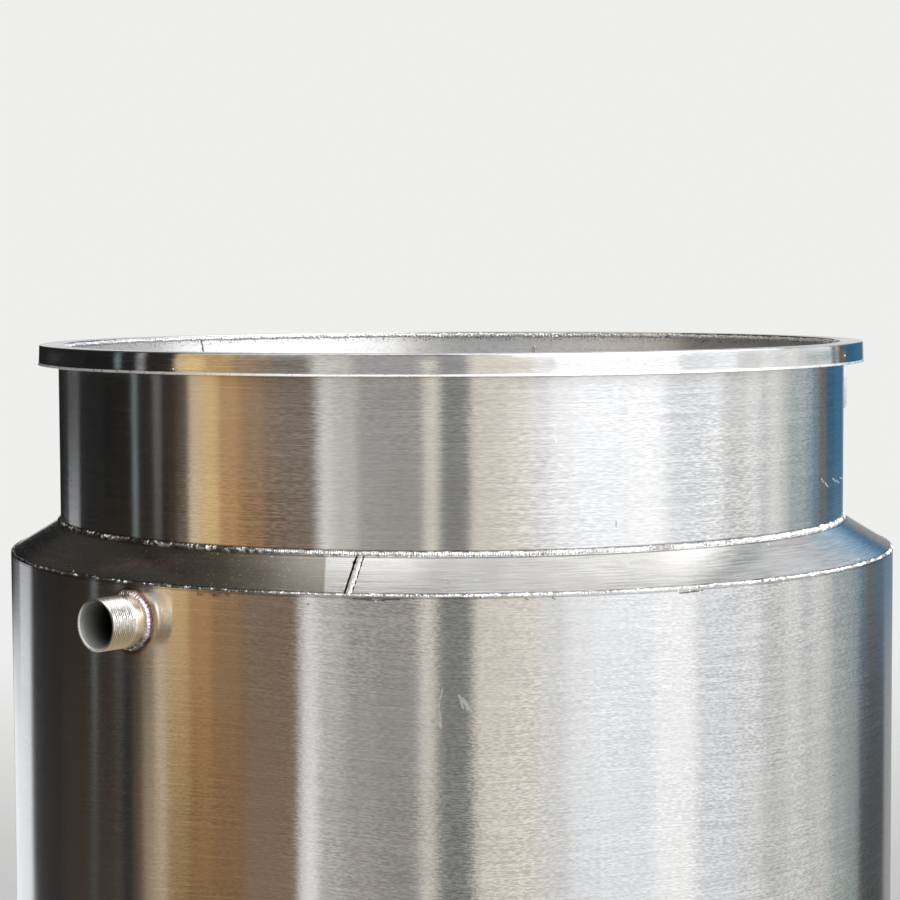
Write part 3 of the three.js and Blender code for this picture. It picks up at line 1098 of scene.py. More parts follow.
NECK_SHEET = Sheet(
    "neck brushed sheet", strokes=Strokes.LONG, depth=0.28, contrast=0.2, marks=NECK_MARKS,
    # The dark ring is painted shade along the toe above the neck bead.
    heat=(HeatMark(reach=0.0018, height=1.2257, strength=0.7, dark=True),
          # Painted shade in heat-tint colours: a thin pinkish-brown line on the neck just under the
          # rim's lower lip.
          HeatMark(reach=0.0024, height=1.3795, strength=0.6)),
    ground=WhitenedBand(radius=0.3985, height=1.34, pitted=1.386),
    brushed=((-0.2, 0.6), (-0.15, 0.95), (0.06, 1.0), (0.1, 0.7), (0.19, 0.7), (0.22, 1.4)))


@dataclass
class InnerVessel:
    """Rolled inner shell, which shows as the neck and through the mouth, and its conical bottom."""

    radius: float = 400.0
    wall: float = 3.0
    foot: float = 400.0
    top: float = 1396.7
    slope: float = 18.0
    hole: float = 30.45
    gap: float = 0.3
    seam_azimuth: float = 206.0
    seam_outside: tuple[float, float] = (1230.0, 1372.0)
    sheet: Sheet = NECK_SHEET
    bottom: Sheet = Sheet("bottom brushed sheet", roughness=0.3)
    weld: WeldMetal = WeldMetal("ground ring weld", specks=0.15)

    def build(self) -> None:
        """Builds the shell, its seam, the bottom and the ring bead."""
        inner = self.radius - self.wall
        shell = wobble(draw_tube(inner, self.radius, self.foot, self.top), 0.3, 170.0, 3.0)
        finish("inner_shell_sheet", shell, self.sheet.make(), ["inner_shell"])
        cone = bottom_cone(self.radius, self.foot - self.gap, self.wall, self.slope, self.hole)
        finish("inner_bottom_sheet", cone, self.bottom.make(),
               ["inner_bottom_cone"])
        bead = Bead(3.6, 2.2, ripple=0.08, per_ripple=3.0, sides=10, seed=2.0)
        finish("inner_bottom_bead", bead.lay_ring(inner - 0.2, self.foot, 135.0),
               self.weld.make(), ["inner_bottom_weld"])
        seam = Bead(2.2, 0.45, ripple=0.1, per_ripple=3.0, sides=8, seed=5.0)
        out = outwards(self.seam_azimuth)
        lines = [seam.lay_line(out * radius + UP * foot, out * radius + UP * top, face)
                 for radius, (foot, top), face in (
                     (inner, (self.foot + 8.0, self.top - 10.0), -out),
                     (self.radius, self.seam_outside, out))]
        finish("inner_shell_seam", join(lines), self.weld.make())


def bottom_cone(radius: float, foot: float, wall: float, slope: float, hole: float) -> BMesh:
    """Draws a conical bottom that falls from a shell's foot to the outlet.

    Args:
        radius: Outer radius at the top.
        foot: Height of its top edge.
        wall: Thickness of the sheet.
        slope: Fall of the cone, in degrees.
        hole: Radius of the hole in its middle.

    Returns:
        The cone's mesh.
    """
    drop = wall / math.cos(math.radians(slope))
    fall = math.tan(math.radians(slope))
    lowest = foot - (radius - hole) * fall
    return turn(draw_section([Corner(hole, lowest), Corner(radius, foot, 0.6),
                              Corner(radius - drop / fall, foot), Corner(hole, lowest + drop)]))


@dataclass
class Rim:
    """Rolled angle ring round the mouth, the bead inside it and the small plate under it."""

    top: float = 1400.0
    inner: float = 397.0
    radius: float = 419.6
    wall: float = 3.0
    height: float = 20.0
    root: float = 3.0
    flare: float = 0.8
    lip: float = 2.0
    lean: float = 0.6
    lug_azimuth: float = 135.8
    lug_base: float = 400.3
    lug_reach: float = 15.4
    lug_height: float = 71.0
    lug_thickness: float = 5.0
    steel: Sheet = Sheet(
        "rim brushed steel", strokes=Strokes.LONG, colour=(0.69, 0.685, 0.68), roughness=0.1,
        contrast=0.14, depth=0.3,
        # Painted highlight: the lower lip is whitened and made partly diffuse, so it shows as a
        # bright line all round.
        ground=WhitenedBand(radius=1.0, height=1.3826, pitted=2.0, fade=-0.0004, roughness=0.36,
                          metallic=0.55, colour=(0.97, 0.97, 0.97)))
    weld: WeldMetal = WeldMetal("rim weld metal", colour=(0.95, 0.95, 0.94),
                                shade=(0.07, 0.06, 0.06), specks=0.5, roughness=0.33,
                                metallic=0.5)
    # Painted shade: the plate's steel is darker than the rim's, so it reads grey against the pale
    # backdrop.
    plate: Sheet = Sheet("lug steel", colour=(0.5, 0.5, 0.5), roughness=0.34, anisotropic=0.3)

    def build(self) -> None:
        """Builds the ring, its bead and the plate."""
        hanging, edge = self.radius - self.wall, self.radius + self.flare
        foot, under = self.top - self.height, self.top - self.wall
        ring = draw_section([
            Corner(self.inner, under), Corner(hanging, under, self.root),
            Corner(hanging, foot, 0.6), Corner(edge, foot, 0.4),
            Corner(edge, foot + self.lip * 0.4, 0.3), Corner(self.radius, foot + self.lip, 0.5),
            Corner(self.radius - self.lean, self.top, 1.2), Corner(self.inner, self.top, 0.5)],
            row=6.0)
        finish("rim_ring", wobble(turn(ring), 0.25, 140.0, 9.0), self.steel.make(),
               ["rim_angle"])
        bead = Bead(2.1, 1.4, pitch=4.0, ripple=1.0, lumps=0.5, stray=0.35, grit=0.6, seed=11.0)
        finish("rim_bead", bead.lay_ring(self.inner + 0.1, self.top - 3.6, 180.0),
               self.weld.make(), ["rim_weld"])
        finish("rim_plate", self.draw_lug(), self.plate.make(), ["rim_lug"])
        drops = [(outwards(azimuth) * self.radius + UP * (foot + lift), outwards(azimuth), size)
                 for azimuth, lift, size in ((3.7, 5.0, 0.8), (104.4, 9.0, 0.9), (99.0, 5.0, 0.6))]
        finish("rim_spatter", splash(drops), self.weld.make())

    def draw_lug(self) -> BMesh:
        """Draws the plate under the rim."""
        base, top = self.lug_base, self.top - self.wall - 0.3
        tip, bottom, notch = base + self.lug_reach, top - self.lug_height, 3.3
        bm = bmesh.new()
        verts = [bm.verts.new((0.0, -r, z)) for r, z in (
            (base, top), (base, bottom), (tip, bottom), (tip, top - notch), (tip - notch, top))]
        bm.faces.new(verts)
        round_corners(bm, [verts[2]], 6.0, 5)
        bmesh.ops.translate(bm, vec=(-self.lug_thickness / 2, 0, 0), verts=bm.verts[:])
        thicken(bm, (self.lug_thickness, 0, 0))
        bevel_rims(bm, 0.5)
        bmesh.ops.rotate(bm, cent=(0, 0, 0), verts=bm.verts[:],
                         matrix=Matrix.Rotation(math.radians(self.lug_azimuth), 3, "Z"))
        return bm


CONE_SHEET = Sheet(
    "cone brushed sheet", colour=(0.68, 0.675, 0.665), roughness=0.155, strokes=Strokes.SWEPT,
    contrast=0.22, flecks=0.6,
    brushed=((-0.2, 1.6), (-0.1, 1.0), (0.15, 0.9), (0.24, 0.9), (0.28, 1.6)),
    # Both dark rings are painted shade along the toes of the neck bead and of the shoulder bead.
    heat=(HeatMark(reach=0.0008, height=1.2207, strength=0.6, dark=True),
          HeatMark(reach=0.0008, height=1.1943, strength=0.65, dark=True)),
    marks=(stain(spot(435, -7, 1201), spot(422, 3, 1209), 0.022, 0.9, (0.8, 0.6, 0.56)),
           stain(spot(412, -4, 1215), spot(432, 7, 1203), 0.014, 0.8, (0.2, 0.13, 0.14)),
           stain(spot(418, 10, 1212), spot(440, 14, 1198), 0.014, 0.6, (0.2, 0.17, 0.15)),
           stain(spot(404, 116, 1220), spot(446, 120, 1195), 0.014, 0.8, (0.62, 0.42, 0.38)),
           # Painted shade in the seam's groove, then painted shade along the seam bead's far toe.
           Mark(spot(401, 28.2, 1221.3), spot(448.5, 28.2, 1192.0), 0.0018, 1.0,
                (0.01, 0.01, 0.01), 0.6),
           Mark(spot(402, 29.12, 1221.8), spot(448, 29.02, 1193.4), 0.0011, 1.0,
                (0.05, 0.05, 0.05), 0.3)),
    # Painted shade: the cone's front, left of the camera, is darkened and tinted olive with a crisp
    # edge, where its reflections are dark.
    painted_shade=PaintedShadePart(side=-level_side(PHOTO_AZIMUTH), front=outwards(PHOTO_AZIMUTH), distance=0.112,
                  shade=(0.52, 0.5, 0.45)))


@dataclass
class ClosingCone:
    """Cone ring that closes the jacket against the neck, with its seam, beads and spatter."""

    top_radius: float = 400.3
    top: float = 1223.0
    foot_radius: float = 450.0
    foot: float = 1192.3
    wall: float = 3.0
    seam_azimuth: float = 28.2
    groove: float = 1.8
    groove_depth: float = 1.5
    seam_offset: float = 3.7
    near_side: float = 380.0
    sheet: Sheet = CONE_SHEET
    # Painted shade: the neck and shoulder beads are darkened about a point at azimuth -45, over the
    # part left of the camera where they mirror dark surroundings, with a little soot and pale
    # painted glints.
    neck_weld: WeldMetal = WeldMetal("neck weld metal", colour=(0.84, 0.84, 0.83),
                                     shade=(0.1, 0.09, 0.08), specks=0.45, roughness=0.33,
                                     soot_and_shade=spot(400, -45, 1223), soot_and_shade_reach=0.39, soot_and_shade_fade=1.12)
    shoulder_weld: WeldMetal = WeldMetal("shoulder weld metal", colour=(0.9, 0.9, 0.89),
                                         shade=(0.07, 0.06, 0.06), specks=0.8,
                                         soot_and_shade=spot(450, -45, 1192), soot_and_shade_reach=0.455,
                                         soot_and_shade_fade=1.1)
    seam_weld: WeldMetal = WeldMetal("cone seam weld", colour=(0.95, 0.95, 0.94), specks=0.25,
                                     roughness=0.3)

    @property
    def slope(self) -> float:
        """Angle that the cone falls by, in radians."""
        return math.atan2(self.top - self.foot, self.foot_radius - self.top_radius)

    def on_cone(self, part: float, azimuth: float, aside: float = 0.0) -> Vector:
        """Point on the cone's outer face.

        Args:
            part: How far down it lies, from 0 to 1.
            azimuth: Its azimuth in degrees.
            aside: How far it is moved sideways, towards larger azimuths.

        Returns:
            The point.
        """
        out = outwards(azimuth)
        radius = self.top_radius + part * (self.foot_radius - self.top_radius)
        height = self.top + part * (self.foot - self.top)
        return out * radius + UP * height + level_side(azimuth) * aside

    def normal(self, azimuth: float) -> Vector:
        """Direction that the cone's outer face looks at an azimuth."""
        return outwards(azimuth) * math.sin(self.slope) + UP * math.cos(self.slope)

    def build(self) -> None:
        """Builds the cone, the three beads and the spatter."""
        finish("cone_sheet", self.draw_cone(), self.sheet.make(), ["closing_cone"])
        seam = Bead(2.2, 1.3, pitch=2.4, ripple=0.35, lumps=0.4, stray=0.35, sides=10, seed=21.0)
        line = seam.lay_line(self.on_cone(0.06, self.seam_azimuth, self.seam_offset),
                             self.on_cone(0.97, self.seam_azimuth, self.seam_offset),
                             self.normal(self.seam_azimuth))
        finish("cone_seam_bead", line, self.seam_weld.make(), ["cone_seam_weld"])
        tilt = 0.5 * (90.0 - math.degrees(self.slope))
        neck = Bead(2.9, 2.0, pitch=2.2, ripple=0.5, lumps=0.35, stray=0.25, grit=0.3, seed=31.0)
        finish("neck_bead", neck.lay_ring(self.top_radius - 0.1, self.top + 0.2, tilt),
               self.neck_weld.make(), ["neck_weld"])
        shoulder = Bead(1.7, 0.9, pitch=2.0, ripple=0.8, lumps=0.6, stray=0.4, grit=0.6, seed=41.0)
        ring = shoulder.lay_ring(self.foot_radius - 1.5, self.foot + 0.4, tilt)
        finish("shoulder_bead", ring, self.shoulder_weld.make(),
               ["shoulder_weld"])
        drops = [(outwards(azimuth) * (self.foot_radius - 0.3) + UP * (self.foot - fall),
                  outwards(azimuth), size)
                 for azimuth, fall, size in (
                     (31.8, 4.6, 0.8), (67.9, 2.4, 1.0), (69.3, 2.8, 0.9), (66.4, 2.0, 1.1),
                     (52.6, 3.4, 0.7), (82.0, 3.0, 0.8))]
        drops += [(self.on_cone(part, azimuth), self.normal(azimuth), size)
                  for part, azimuth, size in (
                      (0.2, -3.0, 0.9), (0.13, 9.0, 1.0), (0.16, 11.5, 1.2), (0.12, 17.0, 0.9),
                      (0.9, -12.0, 0.7), (0.2, 38.0, 0.7), (0.15, 86.0, 0.9), (0.85, 101.0, 0.8))]
        finish("cone_spatter", splash(drops), self.neck_weld.make())

    def draw_cone(self) -> BMesh:
        """Draws the cone with the groove of its butt seam."""
        drop = self.wall / math.cos(self.slope)
        inset = drop / math.tan(self.slope)
        bm = turn(draw_section([
            Corner(self.top_radius, self.top - drop), Corner(self.foot_radius - inset, self.foot),
            Corner(self.foot_radius, self.foot), Corner(self.top_radius, self.top)], row=8.0))
        out, side = outwards(self.seam_azimuth), level_side(self.seam_azimuth)
        half = self.groove / 2
        for offset in (-half, -0.6 * half, 0.6 * half, half):
            near = [f for f in bm.faces if f.calc_center_median().dot(out) > self.near_side]
            joined = {e for f in near for e in f.edges} | {v for f in near for v in f.verts}
            bmesh.ops.bisect_plane(bm, geom=near + list(joined), dist=0.0001,
                                   plane_co=side * offset, plane_no=side)
        bmesh.ops.recalc_face_normals(bm, faces=bm.faces[:])
        bm.normal_update()
        normal = self.normal(self.seam_azimuth)
        for vert in bm.verts:
            if vert.co.dot(out) > self.near_side and abs(vert.co.dot(side)) < 0.7 * half:
                if vert.normal.dot(normal) > 0.5:
                    vert.co -= normal * self.groove_depth
        return bm


JACKET_MARKS = (
    # Painted reflection: a tan patch from the nipple up past its collar, where the nipple is
    # mirrored in the jacket.
    stain(spot(450, 5.3, 1182), spot(450, 5.2, 1158), 0.014, 0.7, (0.8, 0.58, 0.34)),
    *scratches(450, ((39.1, 1112, 38.7, 1098, 0.0009, 0.9), (38.7, 1098, 38.9, 1081, 0.0011, 0.9),
                     (38.8, 1080, 38.0, 1085, 0.0018, 0.8), (38.8, 1082, 38.3, 1087, 0.0011, 0.9),
                     (40.9, 1107, 41.4, 1095, 0.001, 0.6), (41.0, 1106, 42.3, 1093, 0.0012, 0.5),
                     (41.4, 1104, 41.9, 1095, 0.002, 0.45))),
    *scratches(450, ((66.6, 1188.6, 69.6, 1189.4, 0.0011, 0.8),
                     (29.3, 1189.7, 31.4, 1189.9, 0.0009, 0.7),
                     (30.7, 1188.6, 32.8, 1188.8, 0.0007, 0.6),
                     (32.5, 1189.8, 34.4, 1190.0, 0.001, 0.75),
                     (48.3, 1190.2, 48.6, 1188.4, 0.0007, 0.7),
                     (51.3, 1190.2, 51.6, 1188.8, 0.0007, 0.7),
                     (24.0, 1184.0, 24.2, 1184.3, 0.0009, 0.6)), colour=BLACK),
    stain(spot(450, 10.2, 1189.2), spot(450, 14.4, 1189.6), 0.0035, 1.0, (0.09, 0.05, 0.03)))
JACKET_SHEET = Sheet(
    "jacket brushed sheet", colour=(0.65, 0.645, 0.635), lean=0.1, depth=0.27, contrast=0.22,
    marks=JACKET_MARKS,
    brushed=((-0.16, 0.4), (-0.1, 1.2), (0.06, 1.25), (0.1, 0.57), (0.2, 0.57), (0.235, 1.15)),
    heat=(HeatMark(reach=0.0065, point=spot(450, 0, 1158.6), start=0.0278, strength=0.95),
          HeatMark(reach=0.0065, point=spot(450, 180, 430), start=0.0278, strength=0.95),
          # The dark ring is painted shade along the toe under the shoulder bead.
          HeatMark(reach=0.0014, height=1.1908, strength=0.4, dark=True)))


@dataclass
class Jacket:
    """Outer shell with holes for its two nipples, its conical bottom and the bead between them."""

    radius: float = 450.0
    wall: float = 3.0
    top: float = 1192.0
    foot: float = 370.0
    slope: float = 18.0
    outlet_hole: float = 30.45
    nipple_hole: float = 24.45
    gap: float = 0.3
    seam_azimuth: float = 228.0
    nipples: tuple[tuple[float, float], ...] = ((0.0, 1158.6), (180.0, 430.0))
    sheet: Sheet = JACKET_SHEET
    bottom: Sheet = Sheet("jacket bottom sheet", roughness=0.3)
    weld: WeldMetal = WeldMetal("jacket ring weld", specks=0.15)

    def build(self) -> None:
        """Builds the shell, its seam, the bottom and the ring bead."""
        inner = self.radius - self.wall
        shell = wobble(draw_tube(inner, self.radius, self.foot, self.top), 0.3, 190.0, 17.0)
        for azimuth, height in self.nipples:
            drill = bmesh.new()
            bmesh.ops.create_cone(drill, cap_ends=True, segments=TUBE_STEPS, depth=40.0,
                                  radius1=self.nipple_hole, radius2=self.nipple_hole)
            bmesh.ops.translate(drill, vec=(0, 0, self.radius), verts=drill.verts[:])
            bmesh.ops.transform(drill, matrix=point_outwards(azimuth, height), verts=drill.verts[:])
            shell = carve(shell, drill)
        finish("jacket_sheet", shell, self.sheet.make(), ["jacket_shell"])
        cone = bottom_cone(self.radius, self.foot - self.gap, self.wall, self.slope,
                           self.outlet_hole)
        finish("jacket_bottom_sheet", cone, self.bottom.make(),
               ["jacket_bottom_cone"])
        bead = Bead(2.4, 1.3, ripple=0.1, per_ripple=3.0, sides=10, seed=51.0)
        ring = bead.lay_ring(self.radius - 1.2, self.foot - 0.3, -36.0)
        finish("jacket_bottom_bead", ring, self.weld.make(), ["jacket_bottom_weld"])
        seam = Bead(2.2, 0.45, ripple=0.1, per_ripple=3.0, sides=8, seed=55.0)
        edge = outwards(self.seam_azimuth) * self.radius
        line = seam.lay_line(edge + UP * (self.foot + 5.0), edge + UP * (self.top - 4.0),
                             outwards(self.seam_azimuth))
        finish("jacket_seam_bead", line, self.weld.make())


@dataclass
class ThreadedPipe:
    """Threaded pipe made about +Z, its mouth at the upper end."""

    radius: float
    wall: float
    start: float
    mouth: float
    bevel: float = 0.3
    chamfer: float = 0.5
    reamed: float = 0.6
    ream_depth: float = 14.0
    thread: float = 30.0
    pitch: float = 2.309
    depth: float = 1.3
    rows: int = 8

    def draw(self) -> BMesh:
        """Draws the pipe and cuts its thread."""
        bore, threaded = self.radius - self.wall, self.mouth - self.thread
        bm = draw_section([
            Corner(bore, self.start), Corner(self.radius, self.start),
            Corner(self.radius, threaded), Corner(self.radius, self.mouth - self.bevel),
            Corner(self.radius - self.bevel, self.mouth),
            Corner(bore + self.reamed + self.chamfer, self.mouth, 0.15),
            Corner(bore + self.reamed, self.mouth - self.chamfer),
            Corner(bore, self.mouth - self.ream_depth)], row=8.0)
        cut = [e for e in bm.edges if all(-v.co.y > self.radius - 0.01 and v.co.z > threaded - 0.01
                                          for v in e.verts)]
        for edge in cut:
            wanted = edge.calc_length() / self.pitch * self.rows
            bmesh.ops.subdivide_edges(bm, edges=[edge], cuts=max(1, round(wanted)))
        turn(bm, PIPE_STEPS)
        for vert in bm.verts:
            radius = math.hypot(vert.co.x, vert.co.y)
            if radius < self.radius - self.bevel - 0.01 or vert.co.z < threaded:
                continue
            turned = math.atan2(vert.co.y, vert.co.x) / math.tau
            fade = min(1.0, (vert.co.z - threaded) / (2.5 * self.pitch))
            saw = abs(2.0 * ((vert.co.z / self.pitch + turned) % 1.0) - 1.0)
            shrink = 1.0 - self.depth * fade * min(1.0, 1.15 * saw) / radius
            vert.co.x, vert.co.y = vert.co.x * shrink, vert.co.y * shrink
        return bm


@dataclass
class Nipple:
    """Threaded nipple that stands out of the jacket, with its weld collar."""

    name: str
    azimuth: float
    height: float
    jacket: float = 450.0
    pipe: ThreadedPipe = field(default_factory=lambda: ThreadedPipe(24.15, 3.2, 440.0, 491.7))
    collar: Bead = Bead(3.9, 3.0, pitch=3.0, ripple=0.22, lumps=0.5, stray=0.14, grit=0.12,
                        per_ripple=8.0, sides=20, seed=61.0)
    # Painted shade: the collar is darkened on its underside, below the pipe.
    weld: WeldMetal = WeldMetal("collar weld metal", colour=(0.74, 0.66, 0.67),
                                shade=(0.16, 0.1, 0.1), specks=0.35, roughness=0.26, grain=0.25,
                                soot_and_shade=spot(452, 1.5, 1130), soot_and_shade_reach=0.016, soot_and_shade_depth=0.7)

    def build(self) -> None:
        """Builds the nipple and its collar."""
        turned = point_outwards(self.azimuth, self.height)
        spin = turned.to_3x3()
        bm = self.pipe.draw()
        bmesh.ops.transform(bm, matrix=turned, verts=bm.verts[:])
        steel = PipeSteel(f"{self.name} steel", UP * self.height * MM, (1.0, 0.0, 1.0),
                          spot(self.jacket, self.azimuth, self.height))
        finish(f"{self.name}_pipe", bm, steel.make(), [self.name], smooth=50.0)
        ring = self.pipe.radius + 0.4

        def path(part: float) -> Place:
            """Place on the collar at a part of the way round the pipe."""
            angle = math.tau * part
            side = Vector((math.cos(angle), math.sin(angle), 0.0))
            depth = math.sqrt(self.jacket ** 2 - (ring * side.x) ** 2)
            face = Vector((side.x * ring / self.jacket, 0.0, depth / self.jacket)).normalized()
            origin = side * ring + Vector((0.0, 0.0, depth + 1.9))
            across = (side - face * side.dot(face)).normalized()
            out = (face * 0.45 + across * 0.9).normalized()
            return Place(turned @ origin, spin @ out, spin @ out.cross(across.cross(face)))

        finish(f"{self.name}_collar", self.collar.lay(path, math.tau * ring),
               self.weld.make(), [f"{self.name}_weld"])


@dataclass
class Outlet:
    """Threaded outlet pipe under the vessel, with its weld collar."""

    radius: float = 30.15
    wall: float = 3.0
    end: float = 130.0
    top: float = 282.7
    cone: float = 233.4
    steel: PipeSteel = PipeSteel("outlet steel", Vector((0.0, 0.0, 0.0)), (1.0, 1.0, 0.0),
                                 Vector((0.0, 0.0, 0.2334)), bore=0.02715, root=0.0288,
                                 crest=0.0297, mouth=0.1029)
    weld: WeldMetal = WeldMetal("outlet weld metal", specks=0.3)

    def build(self) -> None:
        """Builds the pipe and its collar."""
        bm = ThreadedPipe(self.radius, self.wall, -self.top, -self.end).draw()
        bmesh.ops.rotate(bm, cent=(0, 0, 0), verts=bm.verts[:],
                         matrix=Matrix.Rotation(math.pi, 3, "X"))
        finish("outlet_tube", bm, self.steel.make(), ["outlet_pipe"], smooth=50.0)
        bead = Bead(4.8, 3.4, pitch=5.0, ripple=0.2, per_ripple=6.0, seed=71.0)
        finish("outlet_collar", bead.lay_ring(self.radius + 0.4, self.cone - 0.6, -42.0),
               self.weld.make(), ["outlet_weld"])


@dataclass
class Legs:
    """Four tube legs with caps, curved pads and round feet."""

    azimuths: tuple[float, ...] = (45.0, 135.0, 225.0, 315.0)
    jacket: float = 450.3
    circle: float = 484.75
    radius: float = 30.15
    wall: float = 3.0
    foot: float = 8.3
    top: float = 552.0
    cap: float = 4.0
    plate_radius: float = 62.0
    plate: float = 8.0
    pad_width: float = 104.0
    pad_bottom: float = 392.0
    pad_top: float = 572.0
    pad_thickness: float = 4.0
    pad_corner: float = 14.0
    tube: Sheet = Sheet("leg tube satin", roughness=0.3, anisotropic=0.6)
    sheet: Sheet = Sheet("leg plate brushed", roughness=0.32, anisotropic=0.4)
    weld: WeldMetal = WeldMetal("leg weld metal", specks=0.4)

    def build(self) -> None:
        """Builds each leg in turn."""
        finishes = self.tube.make(), self.sheet.make(), self.weld.make()
        for number, azimuth in enumerate(self.azimuths, start=1):
            self.build_leg(number, azimuth, *finishes)

    def build_leg(self, number: int, azimuth: float, tube: bpy.types.Material,
                  sheet: bpy.types.Material, weld: bpy.types.Material) -> None:
        """Builds one leg.

        Args:
            number: The leg's number.
            azimuth: Where it stands.
            tube: Finish of the tube.
            sheet: Finish of the plates.
            weld: Finish of the welds.
        """
        stand = Matrix.Translation(outwards(azimuth) * self.circle)
        spin = Matrix.Rotation(math.radians(azimuth), 4, "Z")
        inner, outer = self.radius - self.wall, self.radius
        low, high = self.top + 0.3, self.top + 0.3 + self.cap
        cap = draw_section([Corner(0.0, low), Corner(outer, low, 0.4), Corner(outer, high, 1.2),
                            Corner(0.0, high)])
        foot = draw_section([Corner(0.0, 0.0), Corner(self.plate_radius, 0.0, 0.6),
                             Corner(self.plate_radius, self.plate, 1.0),
                             Corner(0.0, self.plate)])
        rings = join([
            Bead(3.6, 2.4, pitch=4.4, per_ripple=5.0, sides=10, seed=number).lay_ring(
                outer - 0.2, self.plate + 0.2, 45.0),
            Bead(1.8, 0.9, pitch=4.0, per_ripple=4.0, sides=8, seed=number + 9.0).lay_ring(
                outer - 0.2, self.top + 0.2, 0.0)])
        welds = join([self.draw_pad_weld(number)] + [self.draw_leg_weld(side) for side in (-1, 1)])
        for part, shape, slot, finish_of, nodes, move in (
                ("tube", draw_tube(inner, outer, self.foot, self.top, TUBE_STEPS), "leg_tube",
                 tube, [f"leg_{number}"], stand),
                ("cap", turn(cap, TUBE_STEPS), "leg_plate", sheet, [f"leg_cap_{number}"], stand),
                ("foot", turn(foot, PIPE_STEPS), "leg_plate", sheet, [f"foot_plate_{number}"],
                 stand),
                ("ring_welds", rings, "ring_bead", weld, [], stand),
                ("pad", self.draw_pad(), "leg_plate", sheet, [f"leg_pad_{number}"], spin),
                ("pad_welds", welds, "ring_bead", weld, [], spin)):
            bmesh.ops.transform(shape, matrix=move, verts=shape.verts[:])
            finish(f"leg_{number}_{part}", shape, finish_of, nodes)

    def bend(self, x: float, z: float, lift: float) -> Vector:
        """Point on the jacket's curve at azimuth 0.

        Args:
            x: Distance round the jacket.
            z: Height.
            lift: Distance out from the jacket.

        Returns:
            The point.
        """
        angle = x / self.jacket
        return Vector((math.sin(angle), -math.cos(angle), 0.0)) * (self.jacket + lift) + UP * z

    def draw_pad(self) -> BMesh:
        """Draws the curved pad at azimuth 0."""
        half, middle = self.pad_width / 2, (self.pad_bottom + self.pad_top) / 2
        bm = bmesh.new()
        verts = [bm.verts.new((x * half, z, 0.0)) for x, z in (
            (-1, self.pad_bottom - middle), (1, self.pad_bottom - middle),
            (1, self.pad_top - middle), (-1, self.pad_top - middle))]
        bm.faces.new(verts)
        round_corners(bm, verts, self.pad_corner, 6)
        for cut in range(-7, 8):
            bmesh.ops.bisect_plane(bm, geom=bm.verts[:] + bm.edges[:] + bm.faces[:], dist=0.0001,
                                   plane_co=(cut * half / 8, 0, 0), plane_no=(1, 0, 0))
        thicken(bm, (0, 0, self.pad_thickness))
        bevel_rims(bm, 0.7)
        for vert in bm.verts:
            vert.co = self.bend(vert.co.x, vert.co.y + middle, vert.co.z)
        return bm

    def draw_pad_weld(self, seed: float) -> BMesh:
        """Draws the fillet round the pad.

        Args:
            seed: Chooses its ripples.

        Returns:
            The bead's mesh.
        """
        half, corner = self.pad_width / 2, self.pad_corner
        tall = (self.pad_top - self.pad_bottom) / 2
        middle = (self.pad_bottom + self.pad_top) / 2
        sides = (2 * (tall - corner), 2 * (half - corner))
        arc = corner * math.pi / 2
        length = 2 * sum(sides) + 4 * arc

        def path(part: float) -> Place:
            """Place on the pad's edge at a part of the way round."""
            way = part * length
            angle, x, z = 0.0, half, corner - tall
            for quarter in range(4):
                straight = sides[quarter % 2]
                turned = quarter * math.pi / 2
                if way <= straight:
                    x -= way * math.sin(turned)
                    z += way * math.cos(turned)
                    angle = turned
                    break
                x -= straight * math.sin(turned)
                z += straight * math.cos(turned)
                way -= straight
                if way <= arc:
                    angle = turned + way / corner
                    x += corner * (math.cos(angle) - math.cos(turned))
                    z += corner * (math.sin(angle) - math.sin(turned))
                    break
                way -= arc
                x += corner * (math.cos(turned + math.pi / 2) - math.cos(turned))
                z += corner * (math.sin(turned + math.pi / 2) - math.sin(turned))
            round_tank = x / self.jacket
            face = Vector((math.sin(round_tank), -math.cos(round_tank), 0.0))
            level = Vector((math.cos(round_tank), math.sin(round_tank), 0.0))
            side = level * math.cos(angle) + UP * math.sin(angle)
            out = (face + side).normalized()
            return Place(self.bend(x, z + middle, 0.2), out, (side - face).normalized())

        bead = Bead(3.8, 2.4, pitch=4.4, per_ripple=4.0, sides=10, seed=80.0 + seed)
        return bead.lay(path, length)

    def draw_leg_weld(self, side: int) -> BMesh:
        """Draws the upright fillet between the tube and the pad on one side.

        Args:
            side: -1 or 1.

        Returns:
            The bead's mesh.
        """
        face = self.jacket + self.pad_thickness
        reach = 12.0
        depth = self.circle - math.sqrt(self.radius ** 2 - reach ** 2)
        start = Vector((side * reach, -(face + depth) / 2, self.pad_bottom + 4.0))
        end = Vector((start.x, start.y, self.top - 2.0))
        out = Vector((side, -0.25, 0.0)).normalized()
        return Bead(3.4, 3.2, pitch=4.4, per_ripple=4.0, sides=10, seed=90.0 + side).lay_line(
            start, end, out)


# Studio

class Tint(Enum):
    """Hues of the studio's cards."""

    PLAIN = (1.0, 1.0, 1.0)
    COOL = (0.96, 0.98, 1.02)
    CREAM = (1.02, 0.96, 0.85)
    WARM = (1.03, 0.97, 0.92)
    SAND = (1.27, 1.0, 0.72)
    TAN = (1.4, 1.0, 0.47)
    BROWN = (1.85, 1.0, 0.42)
    TAUPE = (1.55, 1.0, 0.64)
    SAGE = (1.0, 1.0, 0.91)
    MINT = (0.9, 1.04, 0.98)
    TEAL = (0.86, 1.02, 1.06)
    STEEL = (0.7, 1.0, 1.24)
    BLUE = (0.3, 1.0, 1.8)


@dataclass(frozen=True)
class Card:
    """A card beside the one before it, up to a bearing in degrees right of the camera."""

    right: float
    tint: Tint
    strength: float


@dataclass(frozen=True)
class Tier:
    """Cards right round the tank, which take over from the tier below between two elevations."""

    begins: float
    full: float
    cards: tuple[Card, ...]


